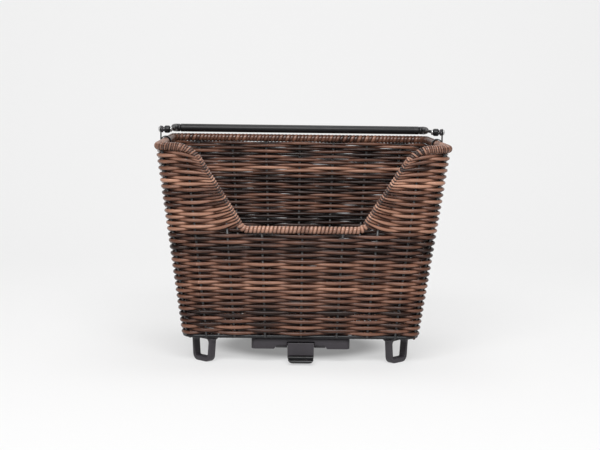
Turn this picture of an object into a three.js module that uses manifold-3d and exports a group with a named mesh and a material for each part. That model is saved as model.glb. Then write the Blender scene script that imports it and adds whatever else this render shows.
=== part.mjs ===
// A bicycle basket for a rear rack: woven walls with a low front edge on a welded wire frame,
// a folding bail handle, four loop feet and a quick-release rack adapter.
// Millimetres, +Z up. The origin is on the ground under the middle of the basket.
// The low edge of the wall and the release lever face -Y.
import * as THREE from "three";
import { mergeVertices } from "three/addons/utils/BufferGeometryUtils.js";
import Module from "manifold-3d";

const wasm = await Module();
wasm.setup();

// Basket
const rimWidth = 400;
const rimDepth = 310;
const rimHeight = 298; // ground to the middle of the rim
const baseWidth = 330; // over the weave, at the base ring
const baseDepth = 242;
const baseHeight = 38; // ground to the middle of the base ring
const cornerRadius = 18; // of the middle of the wall, from base to rim
const wallThickness = 10; // over the strands, where they pass a stake
const weaveRows = 60; // strands of the wall, from the base ring to the rim
const weaveDent = 2.6; // how far a strand sinks where it passes on the far side of a stake
const floorThickness = 9;

// Cutout in the front wall, measured between the bends of its edge wire
const cornerTopLength = 52; // from the side of the rim to the cutout
const cutoutTopWidth = rimWidth - 2 * cornerTopLength;
const cutoutLipWidth = 160.5;
const cutoutDepth = 112.5;
const cutoutBend = 12;
const braidSetback = 10; // from a bend to the end of the braid

// Wires and wraps
const rimWrapDiameter = 12;
const cutoutWrapDiameter = 10; // along the cutout's edges and lip
const rimWireDiameter = 6;
const stakeDiameter = 3;
const baseRingDiameter = 5;
const floorWireDiameter = 3;
const frontStakes = [0.305, 0.565, 0.805]; // from the middle of the front wall, as shares of half its width
const backStakeStep = 0.268; // between stakes of the back wall, as a share of half its width
const backStakesPerSide = 3;
const shortStakeStep = 0.3356; // the same on the side walls
const shortStakesPerSide = 2;

// Bail handle
const pivotRise = 17; // above the middle of the rim
const armInset = 8; // from the side of the rim to the middle of an arm
const armSpacing = rimWidth - 2 * armInset;
const rodDiameter = 4.5;
const rodBend = 7;
const eyeDiameter = 10.5;
const eyeWidth = 8.6;
const gripDiameter = 11.5;
const gripEndGap = 9; // from the middle of an arm to the end of the grip
const gripLength = armSpacing - 2 * gripEndGap;
const gripRise = 13.4; // above the middle of the rim
const knuckleDiameter = 10.4;

// Brackets that carry the bail
const strapThickness = 1.6;
const strapWidth = 8;
const postWidth = 6;
const bracketEyeDiameter = 10;
const pivotPinDiameter = 4.4;
const pivotHeadDiameter = 8;
const pivotHeadHeight = 2.2;
const pivotWasherDiameter = 9.4;

// Feet
const footInsetX = 32; // from the side of the weave to the middle of a foot
const footInsetY = 25;
const footSpacingX = baseWidth - 2 * footInsetX;
const footSpacingY = baseDepth - 2 * footInsetY;
const footTopWidth = 39;
const footBottomWidth = 33;
const footThickness = 11;
const footCornerRadius = 7;
const footHoleTopWidth = 27;
const footHoleBottomWidth = 22;
const footBarHeight = 7.5;
const footChamfer = 4;
const footFlangeThickness = 3.5;
const footFlangeReach = 20;
const footScrewInset = 12.7; // from the loop towards the middle of the basket

// Rack adapter
const adapterWidth = 135;
const adapterLength = 190;
const adapterHeight = 14.2;
const adapterSetback = 4; // front face behind the middle of the base ring
const adapterEdgeRadius = 6;
const grooveWidth = 73;
const grooveHeight = 5;
const clawWidth = 30;
const clawThickness = 6;
const clawDrop = 6;
const clawTooth = 6;
const clawToothHeight = 5;

// Release lever, placed from its pin
const leverWidth = 36;
const leverPinDiameter = 4;
const leverPinLength = 43;
const leverPinBack = 6.5; // behind the adapter's front face
const leverPinRise = 4.5; // above the adapter's underside
const leverKnuckleRadius = 3.6;
const leverProud = 4.5; // lever's face in front of the adapter
const leverThickness = 5.3;
const leverTop = 2.6;
const leverDrop = 21.5;
const lipReach = 12;
const lipThickness = 4.4;
const toothReach = 10.5;
const toothTop = 5.1; // below the pin
const toothHeight = 5;
const pocketRoof = 4.4;
const pocketDepth = 14;
const cheekWall = 2.5; // of the cheeks that hold the pin
const springSlotWidth = 12;

// Torsion spring round the lever's pin
const springWire = 0.9;
const springCoilDiameter = 6;
const springPitch = 1.5;
const springTurns = 4.25;
const springBackLeg = 7;
const springFrontLeg = 4;

// Fasteners and clamp bars
const screwDiameter = 5;
const screwHeadDiameter = 9;
const screwHeadHeight = 2.6;
const adapterScrewDepth = 8; // into the adapter
const adapterScrewSpacing = 104;
const clampBarLength = 132;
const clampBarWidth = 16;
const clampBarThickness = 2.5;
const clampBarFrontInset = 54; // from the adapter's front face to the front bar
const clampBarBackInset = 28;
const footScrewDiameter = 4;
const footScrewHeadDiameter = 8;
const footWasherDiameter = 16;
const footWasherThickness = 1.2;

// Fits
const clearance = 0.3; // between pieces that rest on or pass through each other
const leverSideGap = 0.6;
const wrapJoint = 0.6; // between the ends of two wraps
const cutterOverrun = 2; // how far a cutting shape runs past the piece it cuts
const weldLap = 1; // how far two lengths of wire run into each other

// Facets
const wireSides = 6;
const tubeSides = 8;
const pinSides = 12;
const springSides = 5;
const bendStep = THREE.MathUtils.degToRad(22.5);
const springStepsPerTurn = 8;
const arcSegments = 4;

const up = new THREE.Vector3(0, 0, 1);
const sides = { left: -1, right: 1 };
const ends = { front: -1, back: 1 };
const at = (x, y, z) => new THREE.Vector3(x, y, z);

// Middle of the wall: half width and half depth at a height
const rimMiddleX = (rimWidth - rimWrapDiameter) / 2;
const rimMiddleY = (rimDepth - rimWrapDiameter) / 2;
const baseMiddleX = (baseWidth - wallThickness) / 2;
const baseMiddleY = (baseDepth - wallThickness) / 2;
const wallMiddleX = (z) => THREE.MathUtils.mapLinear(z, baseHeight, rimHeight, baseMiddleX, rimMiddleX);
const wallMiddleY = (z) => THREE.MathUtils.mapLinear(z, baseHeight, rimHeight, baseMiddleY, rimMiddleY);

// Heights worked out from the base ring up and down
const wallBottom = baseHeight + baseRingDiameter / 2 + clearance;
const floorWireHeight = baseHeight + (baseRingDiameter - floorWireDiameter) / 2;
const floorTop = floorWireHeight + floorThickness / 2;
const floorBottom = floorWireHeight - floorThickness / 2;
const underFloor = floorBottom - clearance;
const lipHeight = rimHeight - cutoutDepth;
const pivotHeight = rimHeight + pivotRise;

// Radii of the strap round the rim
const strapInner = rimWrapDiameter / 2 + clearance;
const strapOuter = strapInner + strapThickness;

// Solids

function solidOf(geometry) {
  geometry.deleteAttribute("normal");
  geometry.deleteAttribute("uv");
  const merged = mergeVertices(geometry);
  const vertProperties = merged.attributes.position.array;
  const triVerts = new Uint32Array(merged.index.array);
  return new wasm.Manifold(new wasm.Mesh({ numProp: 3, vertProperties, triVerts }));
}

function joined(solids) {
  return solids.reduce((whole, solid) => whole.add(solid));
}

function box(low, high) {
  const size = high.clone().sub(low);
  const middle = low.clone().add(high).multiplyScalar(0.5);
  return solidOf(new THREE.BoxGeometry(size.x, size.y, size.z).translate(middle.x, middle.y, middle.z));
}

// A round bar that starts at a point and runs along an axis.
function bar(start, axis, length, diameter, facets = pinSides) {
  const geometry = new THREE.CylinderGeometry(diameter / 2, diameter / 2, length, facets);
  const turn = new THREE.Quaternion().setFromUnitVectors(at(0, 1, 0), axis);
  const middle = start.clone().addScaledVector(axis, length / 2);
  return solidOf(geometry.applyQuaternion(turn).translate(middle.x, middle.y, middle.z));
}

// A path through chosen points, sampled exactly at those points.
class Route extends THREE.Curve {
  constructor(points) {
    super();
    this.points = points;
  }

  getPoint(t, target = new THREE.Vector3()) {
    const place = t * (this.points.length - 1);
    const index = Math.min(Math.floor(place), this.points.length - 2);
    return target.lerpVectors(this.points[index], this.points[index + 1], place - index);
  }

  getPointAt(u, target) {
    return this.getPoint(u, target);
  }

  getTangentAt(u, target = new THREE.Vector3()) {
    const last = this.points.length - 1;
    const index = Math.round(u * last);
    const before = this.points[Math.max(index - 1, 0)];
    const after = this.points[Math.min(index + 1, last)];
    return target.subVectors(after, before).normalize();
  }
}

// The arc that rounds a corner between two straight runs.
function roundedCorner(before, corner, bend, after) {
  const toBefore = before.clone().sub(corner).normalize();
  const toAfter = after.clone().sub(corner).normalize();
  const half = toBefore.angleTo(toAfter) / 2;
  const inward = toBefore.clone().add(toAfter).normalize();
  const centre = corner.clone().addScaledVector(inward, bend / Math.sin(half));
  const spoke = corner.clone().addScaledVector(toBefore, bend / Math.tan(half)).sub(centre);
  const axis = toAfter.clone().cross(toBefore).normalize();
  const turn = Math.PI - 2 * half;
  const steps = Math.ceil(turn / bendStep);
  const points = [];
  for (let i = 0; i <= steps; i += 1) {
    points.push(spoke.clone().applyAxisAngle(axis, (turn * i) / steps).add(centre));
  }
  return points;
}

// Straight runs through a list of points, each inner one rounded by its bend radius.
function bentRoute(points, bends) {
  const route = [points[0]];
  for (let i = 1; i < points.length - 1; i += 1) {
    route.push(...roundedCorner(points[i - 1], points[i], bends[i - 1], points[i + 1]));
  }
  route.push(points.at(-1));
  return new Route(route);
}

function tube(route, diameter, facets) {
  const section = new THREE.Shape();
  section.setFromPoints(
    Array.from({ length: facets }, (_, i) => {
      const angle = (2 * Math.PI * i) / facets;
      return new THREE.Vector2((diameter / 2) * Math.cos(angle), (diameter / 2) * Math.sin(angle));
    }),
  );
  const settings = { steps: route.points.length - 1, extrudePath: route, bevelEnabled: false };
  return solidOf(new THREE.ExtrudeGeometry(section, settings));
}

const straightTube = (start, end, diameter, facets) => tube(new Route([start, end]), diameter, facets);

// A plate cut from an outline in X and Y, standing on a height.
function plate(outline, bottom, thickness) {
  const settings = { depth: thickness, bevelEnabled: false, curveSegments: arcSegments };
  return solidOf(new THREE.ExtrudeGeometry(outline, settings).translate(0, 0, bottom));
}

// A profile drawn in Y and Z, run along X between two places.
function profileAlongX(outline, fromX, toX) {
  const settings = { depth: toX - fromX, bevelEnabled: false, curveSegments: arcSegments };
  const geometry = new THREE.ExtrudeGeometry(outline, settings);
  geometry.applyMatrix4(new THREE.Matrix4().makeBasis(at(0, 1, 0), at(0, 0, 1), at(1, 0, 0)));
  return solidOf(geometry.translate(fromX, 0, 0));
}

// A profile drawn in X and Z, run along Y between two places.
function profileAlongY(outline, fromY, toY) {
  const settings = { depth: toY - fromY, bevelEnabled: false, curveSegments: arcSegments };
  const geometry = new THREE.ExtrudeGeometry(outline, settings);
  geometry.rotateX(Math.PI / 2);
  return solidOf(geometry.translate(0, toY, 0));
}

function polygon(points) {
  return new THREE.Shape(points.map(([x, y]) => new THREE.Vector2(x, y)));
}

function roundedRectangle(halfX, halfY, radius) {
  const shape = new THREE.Shape();
  shape.absarc(halfX - radius, halfY - radius, radius, 0, Math.PI / 2);
  shape.absarc(radius - halfX, halfY - radius, radius, Math.PI / 2, Math.PI);
  shape.absarc(radius - halfX, radius - halfY, radius, Math.PI, 1.5 * Math.PI);
  shape.absarc(halfX - radius, radius - halfY, radius, 1.5 * Math.PI, 2 * Math.PI);
  return shape;
}

// Corners of the rim and of the cutout's edge, on the left or right side

const frontCorner = (side) => at(side * rimMiddleX, -rimMiddleY, rimHeight);
const backCorner = (side) => at(side * rimMiddleX, rimMiddleY, rimHeight);
const cutoutCorner = (side) => at((side * cutoutTopWidth) / 2, -rimMiddleY, rimHeight);
const lipCorner = (side) => at((side * cutoutLipWidth) / 2, -wallMiddleY(lipHeight), lipHeight);

function alongDiagonal(side, fromTop) {
  const top = cutoutCorner(side);
  return top.addScaledVector(lipCorner(side).sub(top).normalize(), fromTop);
}

const diagonalLength = cutoutCorner(1).distanceTo(lipCorner(1));

// Welded stake frame

function rimWireHalf(side, diameter) {
  const points = [
    at(-side * weldLap, -wallMiddleY(lipHeight), lipHeight),
    lipCorner(side),
    cutoutCorner(side),
    frontCorner(side),
    backCorner(side),
    at(-side * weldLap, rimMiddleY, rimHeight),
  ];
  return tube(bentRoute(points, [cutoutBend, cutoutBend, cornerRadius, cornerRadius]), diameter, wireSides);
}

// Height where a stake of the front wall meets the edge wire.
function frontStakeTop(share) {
  const pastLip = Math.abs(share) * wallMiddleX(lipHeight) - cutoutLipWidth / 2;
  const pastCutout = Math.abs(share) * rimMiddleX - cutoutTopWidth / 2;
  if (pastLip <= 0) return lipHeight;
  if (pastCutout >= 0) return rimHeight;
  return THREE.MathUtils.lerp(lipHeight, rimHeight, pastLip / (pastLip - pastCutout));
}

function stakeShares(perSide, step) {
  return Array.from({ length: 2 * perSide + 1 }, (_, i) => (i - perSide) * step);
}

const frontShares = [...frontStakes.map((share) => -share).reverse(), 0, ...frontStakes];
const backShares = stakeShares(backStakesPerSide, backStakeStep);
const shortShares = stakeShares(shortStakesPerSide, shortStakeStep);
const wallPoint = (shareX, shareY, z) => at(shareX * wallMiddleX(z), shareY * wallMiddleY(z), z);

function cornerPoint(sideX, sideY, z) {
  const cut = cornerRadius * (1 - Math.SQRT1_2);
  return at(sideX * (wallMiddleX(z) - cut), sideY * (wallMiddleY(z) - cut), z);
}

function stakeFrame(margin, stakeStart) {
  const wires = Object.values(sides).map((side) => rimWireHalf(side, rimWireDiameter + 2 * margin));
  const stake = (placeAt, top) =>
    wires.push(straightTube(placeAt(stakeStart), placeAt(top), stakeDiameter + 2 * margin, wireSides));
  for (const share of frontShares) stake((z) => wallPoint(share, -1, z), frontStakeTop(share));
  for (const share of backShares) stake((z) => wallPoint(share, 1, z), rimHeight);
  for (const side of Object.values(sides)) {
    for (const share of shortShares) stake((z) => wallPoint(side, share, z), rimHeight);
    for (const end of Object.values(ends)) stake((z) => cornerPoint(side, end, z), rimHeight);
  }
  return joined(wires);
}

// Welded base frame

function baseRingHalf(side, diameter) {
  const points = [
    at(-side * weldLap, -baseMiddleY, baseHeight),
    at(side * baseMiddleX, -baseMiddleY, baseHeight),
    at(side * baseMiddleX, baseMiddleY, baseHeight),
    at(-side * weldLap, baseMiddleY, baseHeight),
  ];
  return tube(bentRoute(points, [cornerRadius, cornerRadius]), diameter, tubeSides);
}

function baseFrame(margin) {
  const wires = Object.values(sides).map((side) => baseRingHalf(side, baseRingDiameter + 2 * margin));
  const thickness = floorWireDiameter + 2 * margin;
  for (const share of shortShares) {
    const y = share * baseMiddleY;
    const start = at(-baseMiddleX, y, floorWireHeight);
    wires.push(straightTube(start, at(baseMiddleX, y, floorWireHeight), thickness, wireSides));
  }
  for (const share of [backShares.at(1), backShares.at(-2)]) {
    const x = share * baseMiddleX;
    const start = at(x, -baseMiddleY, floorWireHeight);
    wires.push(straightTube(start, at(x, baseMiddleY, floorWireHeight), thickness, wireSides));
  }
  return joined(wires);
}

// Wraps of the rim, the cutout's edges and its lip

function wrapRoutes() {
  const half = wrapJoint / 2;
  const braidStart = braidSetback + half;
  const routes = {
    rim_wrap_back: bentRoute(
      [at(-rimMiddleX, half, rimHeight), backCorner(-1), backCorner(1), at(rimMiddleX, half, rimHeight)],
      [cornerRadius, cornerRadius],
    ),
    cutout_lip_wrap: bentRoute(
      [
        alongDiagonal(-1, diagonalLength - braidSetback + half),
        lipCorner(-1),
        lipCorner(1),
        alongDiagonal(1, diagonalLength - braidSetback + half),
      ],
      [cutoutBend, cutoutBend],
    ),
  };
  for (const [name, side] of Object.entries(sides)) {
    routes["rim_wrap_front_" + name] = bentRoute(
      [
        at(side * rimMiddleX, -half, rimHeight),
        frontCorner(side),
        cutoutCorner(side),
        alongDiagonal(side, braidSetback - half),
      ],
      [cornerRadius, cutoutBend],
    );
    routes["cutout_braid_" + name] = new Route([
      alongDiagonal(side, braidStart),
      alongDiagonal(side, diagonalLength - braidStart),
    ]);
  }
  return routes;
}

// Woven walls

// How far the wall keeps from the middle of the wire that edges it
const edgeGap = rimWrapDiameter / 2 + clearance;
const wallTop = rimHeight - edgeGap;

// The gap in the front wall, drawn in X and Z, with room for the wraps along its edge.
function cutoutOutline() {
  const slope = (cutoutTopWidth - cutoutLipWidth) / 2 / cutoutDepth;
  const halfWidth = (z) => cutoutLipWidth / 2 + slope * (z - lipHeight) + edgeGap * Math.hypot(1, slope);
  const shoulder = wallTop + clearance;
  const bottom = lipHeight - edgeGap;
  const lowBend = cutoutBend + edgeGap;
  const corner = (side, z) => at(side * halfWidth(z), 0, z);
  const above = (side, z) => at(side * rimMiddleX, 0, z);
  const edge = bentRoute(
    [
      above(-1, shoulder),
      corner(-1, shoulder),
      corner(-1, bottom),
      corner(1, bottom),
      corner(1, shoulder),
      above(1, shoulder),
    ],
    [cutoutBend, lowBend, lowBend, cutoutBend],
  );
  const outline = [...edge.points, above(1, rimHeight), above(-1, rimHeight)];
  return polygon(outline.map(({ x, z }) => [x, z]));
}

// Room in the top of a side wall for the strap that goes round the rim.
function strapCutter(side) {
  const half = strapWidth / 2 + clearance;
  const reach = wallThickness;
  const middle = side * rimMiddleX;
  return box(
    at(middle - reach, -half, rimHeight - strapOuter - clearance),
    at(middle + reach, half, rimHeight + cutterOverrun),
  );
}

// Columns of the weave in order round the basket, each with its place at a height and its way out.
// Whole turns are stakes, and half turns are the two ends of a corner's arc.
function weaveColumns() {
  const walls = [
    { shares: frontShares, out: at(0, -1, 0), place: (share, z) => wallPoint(share, -1, z) },
    { shares: shortShares, out: at(1, 0, 0), place: (share, z) => wallPoint(1, share, z) },
    { shares: backShares, out: at(0, 1, 0), place: (share, z) => wallPoint(-share, 1, z) },
    { shares: shortShares, out: at(-1, 0, 0), place: (share, z) => wallPoint(-1, -share, z) },
  ];
  const columns = [];
  let turn = 0;
  walls.forEach(({ shares, out, place }, i) => {
    for (const share of shares) {
      columns.push({ turn, out, placeAt: (z) => place(share, z) });
      turn += 1;
    }
    const next = walls[(i + 1) % walls.length].out;
    const corner = out.clone().add(next);
    const inX = (z) => corner.x * (wallMiddleX(z) - cornerRadius);
    const inY = (z) => corner.y * (wallMiddleY(z) - cornerRadius);
    [out, corner.clone().normalize(), next].forEach((way, step) => {
      const placeAt = (z) => at(inX(z), inY(z), z).addScaledVector(way, cornerRadius);
      columns.push({ turn: turn + (step - 1) / 2, out: way, placeAt });
    });
    turn += 1;
  });
  return columns;
}

// The wall before it is cut. Each row stands out at every second stake and sinks at the others, the
// next row does the opposite, and what stands out on one face of the wall is sunk on the other.
function wovenWall() {
  const columns = weaveColumns();
  const across = columns.length;
  const rowHeight = (wallTop - wallBottom) / weaveRows;
  const rings = [{ z: wallBottom, swayAt: () => 0 }];
  for (let row = 0; row < weaveRows; row += 1) {
    const swayAt = (turn) => -Math.cos(Math.PI * (turn + row));
    rings.push({ z: wallBottom + (row + 0.5) * rowHeight, swayAt });
  }
  rings.push({ z: wallTop, swayAt: () => 0 });
  const points = [];
  const sways = [];
  for (const face of [1, -1]) {
    const mean = (face * (wallThickness - weaveDent)) / 2;
    for (const { z, swayAt } of rings) {
      for (const { turn, out, placeAt } of columns) {
        sways.push(swayAt(turn));
        points.push(placeAt(z).addScaledVector(out, mean + (weaveDent / 2) * sways.at(-1)));
      }
    }
  }
  const triangles = [];
  const addQuad = (low, lowNext, highNext, high, folded) => {
    triangles.push(low, lowNext, folded ? highNext : high);
    triangles.push(folded ? low : lowNext, highNext, high);
  };
  const inner = rings.length * across;
  for (let column = 0; column < across; column += 1) {
    const beside = (column + 1) % across;
    for (let ring = 0; ring <= weaveRows; ring += 1) {
      const low = ring * across + column;
      const lowNext = ring * across + beside;
      const dented = sways[low] < sways[lowNext]; // so that the fold runs from dent to dent
      addQuad(low, lowNext, lowNext + across, low + across, dented);
      addQuad(inner + lowNext, inner + low, inner + low + across, inner + lowNext + across, dented);
    }
    const top = inner - across;
    addQuad(inner + column, inner + beside, beside, column, false);
    addQuad(top + column, top + beside, inner + top + beside, inner + top + column, false);
  }
  return solidOf(new THREE.BufferGeometry().setFromPoints(points).setIndex(triangles));
}

function wickerWalls(stakeCutter) {
  const notch = profileAlongY(cutoutOutline(), -rimDepth / 2 - cutterOverrun, 0);
  const cutters = [notch, ...Object.values(sides).map(strapCutter), stakeCutter];
  return cutters.reduce((wall, cutter) => wall.subtract(cutter), wovenWall());
}

// Woven floor, with the holes of the screws that pass through it

const floorHalfX = wallMiddleX(wallBottom) - wallThickness / 2 - clearance;
const floorHalfY = wallMiddleY(wallBottom) - wallThickness / 2 - clearance;

function floorHoles() {
  const holes = [];
  const drill = (x, y, diameter) => {
    const start = at(x, y, floorBottom - cutterOverrun);
    holes.push(bar(start, up, floorThickness + 2 * cutterOverrun, diameter + 2 * clearance));
  };
  for (const { x, y } of adapterScrewPlaces) drill(x, y, screwDiameter);
  for (const { screwX, screwY } of footPlaces) drill(screwX, screwY, footScrewDiameter);
  return holes;
}

function wickerFloor(frameCutter) {
  const outline = roundedRectangle(floorHalfX, floorHalfY, cornerRadius - wallThickness / 2);
  const mat = plate(outline, floorBottom, floorThickness).subtract(frameCutter);
  return floorHoles().reduce((floor, hole) => floor.subtract(hole), mat);
}

// Bail handle, built about its pivot axis with the arms lying back

const gripBack = rimMiddleY;
const gripLift = gripRise - pivotRise;

function bailRoute(overrun = 0) {
  const half = armSpacing / 2;
  const start = (side) => at(side * half, -overrun, 0);
  const corner = (side) => at(side * half, gripBack, gripLift);
  return bentRoute([start(-1), corner(-1), corner(1), start(1)], [rodBend, rodBend]);
}

function bailRod() {
  const axis = at(1, 0, 0);
  const eyes = Object.values(sides).map((side) => {
    const start = at((side * armSpacing) / 2 - eyeWidth / 2, 0, 0);
    return bar(start, axis, eyeWidth, eyeDiameter);
  });
  const rod = joined([tube(bailRoute(), rodDiameter, tubeSides), ...eyes]);
  const bore = bar(at(-rimWidth, 0, 0), axis, 2 * rimWidth, pivotPinDiameter + 2 * clearance);
  return rod.subtract(bore);
}

const rodCutter = () => tube(bailRoute(cutterOverrun), rodDiameter + 2 * clearance, tubeSides);

function handleGrip() {
  const start = at(-gripLength / 2, gripBack, gripLift);
  return bar(start, at(1, 0, 0), gripLength, gripDiameter).subtract(rodCutter());
}

// The moulded corner that covers a bend of the rod, between the grip and the arm.
function gripKnuckle(side) {
  const corner = at((side * armSpacing) / 2, gripBack, gripLift);
  const axis = at(side, 0, 0);
  const start = at(side * (gripLength / 2 + clearance), gripBack, gripLift);
  const sleeve = bar(start, axis, armSpacing / 2 - gripLength / 2 - clearance, knuckleDiameter);
  const ball = new THREE.SphereGeometry(knuckleDiameter / 2, pinSides, pinSides / 2);
  ball.rotateZ(Math.PI / 2).translate(corner.x, corner.y, corner.z);
  return sleeve.add(solidOf(ball)).subtract(rodCutter());
}

// Brackets and pivots, built for the right side about the middle of the rim.
// The strap goes round the rim where the middle stake of the side wall meets it.

function handleBracket() {
  const band = new THREE.Shape().absarc(0, 0, strapOuter, 0, 2 * Math.PI);
  band.holes.push(new THREE.Path().absarc(0, 0, strapInner, 0, 2 * Math.PI, true));
  const strap = profileAlongY(band, -strapWidth / 2, strapWidth / 2);
  const post = box(at(strapInner, -postWidth / 2, 0), at(strapOuter, postWidth / 2, pivotRise));
  const eye = bar(at(strapInner, 0, pivotRise), at(1, 0, 0), strapThickness, bracketEyeDiameter);
  const boreStart = at(strapInner - cutterOverrun, 0, pivotRise);
  const boreLength = strapThickness + 2 * cutterOverrun;
  const bore = bar(boreStart, at(1, 0, 0), boreLength, pivotPinDiameter + 2 * clearance);
  const below = rimHeight - strapOuter - cutterOverrun;
  const stakeEnd = at(wallMiddleX(below) - rimMiddleX, 0, below - rimHeight);
  const stakeHole = straightTube(at(0, 0, 0), stakeEnd, stakeDiameter + 2 * clearance, wireSides);
  return joined([strap, post, eye]).subtract(bore).subtract(stakeHole);
}

const eyeOuter = (armSpacing + eyeWidth) / 2 - rimMiddleX;
const eyeInner = (armSpacing - eyeWidth) / 2 - rimMiddleX;

function pivotPin() {
  const axis = at(1, 0, 0);
  const outerHead = strapOuter + clearance;
  const innerHead = eyeInner - clearance - pivotHeadHeight;
  const shank = bar(at(innerHead, 0, 0), axis, outerHead - innerHead + weldLap, pivotPinDiameter);
  const head = (x) => bar(at(x, 0, 0), axis, pivotHeadHeight, pivotHeadDiameter);
  return joined([shank, head(outerHead), head(innerHead)]);
}

function pivotWasher() {
  const start = at(eyeOuter + clearance, 0, 0);
  const length = strapInner - eyeOuter - 2 * clearance;
  const disc = bar(start, at(1, 0, 0), length, pivotWasherDiameter);
  const boreStart = start.clone().setX(start.x - cutterOverrun);
  return disc.subtract(
    bar(boreStart, at(1, 0, 0), length + 2 * cutterOverrun, pivotPinDiameter + 2 * clearance),
  );
}

// Feet: a loop in X and Z on the ground, with a flange that reaches towards the middle along -Y

const footPlaces = Object.entries(ends).flatMap(([endName, end]) =>
  Object.entries(sides).map(([sideName, side]) => {
    const x = (side * footSpacingX) / 2;
    const y = (end * footSpacingY) / 2;
    const inset = footScrewInset * Math.SQRT1_2;
    const turn = Math.atan2(end, side) - Math.PI / 2;
    const name = endName + "_" + sideName;
    return { name, x, y, turn, screwX: x - side * inset, screwY: y - end * inset };
  }),
);

function loopFoot() {
  const top = underFloor;
  const holeTop = underFloor - footFlangeThickness;
  const outline = new THREE.Shape();
  outline.moveTo(-footTopWidth / 2, top);
  const low = footBottomWidth / 2;
  outline.lineTo(-low, footCornerRadius);
  outline.absarc(footCornerRadius - low, footCornerRadius, footCornerRadius, Math.PI, 1.5 * Math.PI);
  outline.absarc(low - footCornerRadius, footCornerRadius, footCornerRadius, 1.5 * Math.PI, 2 * Math.PI);
  outline.lineTo(footTopWidth / 2, top);
  const hole = polygon([
    [-footHoleBottomWidth / 2, footBarHeight],
    [-footHoleTopWidth / 2, holeTop - footChamfer],
    [footChamfer - footHoleTopWidth / 2, holeTop],
    [footHoleTopWidth / 2 - footChamfer, holeTop],
    [footHoleTopWidth / 2, holeTop - footChamfer],
    [footHoleBottomWidth / 2, footBarHeight],
  ]);
  outline.holes.push(hole);
  const loop = profileAlongY(outline, -footThickness / 2, footThickness / 2);
  const flange = box(
    at(-footTopWidth / 2, -footFlangeReach, holeTop),
    at(footTopWidth / 2, footThickness / 2, top),
  );
  const boreStart = at(0, -footScrewInset, holeTop - cutterOverrun);
  const boreLength = footFlangeThickness + 2 * cutterOverrun;
  return loop.add(flange).subtract(bar(boreStart, up, boreLength, footScrewDiameter + 2 * clearance));
}

// Rack adapter

const adapterFront = adapterSetback - baseMiddleY;
const adapterBack = adapterFront + adapterLength;
const adapterBottom = underFloor - adapterHeight;
const grooveRoof = adapterBottom + grooveHeight;
const leverPinY = adapterFront + leverPinBack;
const leverPinZ = adapterBottom + leverPinRise;
const leverBoreDiameter = leverPinDiameter + 2 * clearance;

const clampBarPlaces = [adapterFront + clampBarFrontInset, adapterBack - clampBarBackInset];
const adapterScrewPlaces = clampBarPlaces.flatMap((y) =>
  Object.values(sides).map((side) => ({ x: (side * adapterScrewSpacing) / 2, y })),
);

function adapterHousing() {
  const middleY = (adapterFront + adapterBack) / 2;
  const outline = roundedRectangle(adapterWidth / 2, adapterLength / 2, adapterEdgeRadius);
  const block = plate(outline, adapterBottom, adapterHeight);
  const shell = block.translate([0, middleY, 0]);
  const groove = box(
    at(-grooveWidth / 2, adapterFront - cutterOverrun, adapterBottom - cutterOverrun),
    at(grooveWidth / 2, adapterBack + cutterOverrun, grooveRoof),
  );
  const pocketHalf = leverWidth / 2 + leverSideGap;
  const pocket = box(
    at(-pocketHalf, adapterFront - cutterOverrun, adapterBottom - cutterOverrun),
    at(pocketHalf, adapterFront + pocketDepth, underFloor - pocketRoof),
  );
  const cheekHalf = leverPinLength / 2 + clearance + cheekWall;
  const pinCheeks = box(
    at(-cheekHalf, adapterFront + cheekWall, adapterBottom),
    at(cheekHalf, adapterFront + pocketDepth, grooveRoof + weldLap),
  );
  const pinStart = at(-leverPinLength / 2 - clearance, leverPinY, leverPinZ);
  const pinBore = bar(pinStart, at(1, 0, 0), leverPinLength + 2 * clearance, leverBoreDiameter);
  const claw = box(
    at(-clawWidth / 2, adapterBack - clawThickness, adapterBottom - clawDrop),
    at(clawWidth / 2, adapterBack, grooveRoof + weldLap),
  );
  const tooth = box(
    at(-clawWidth / 2, adapterBack - clawThickness - clawTooth, adapterBottom - clawDrop),
    at(clawWidth / 2, adapterBack - clawThickness + weldLap, adapterBottom - clawDrop + clawToothHeight),
  );
  const screwHoles = adapterScrewPlaces.map(({ x, y }) =>
    bar(
      at(x, y, underFloor - adapterScrewDepth - clearance),
      up,
      adapterScrewDepth + cutterOverrun,
      screwDiameter + 2 * clearance,
    ),
  );
  const body = shell.subtract(groove).add(pinCheeks).add(claw).add(tooth);
  return [pocket, pinBore, ...screwHoles].reduce((housing, cut) => housing.subtract(cut), body);
}

// Release lever, drawn in Y and Z about its pin

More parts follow.
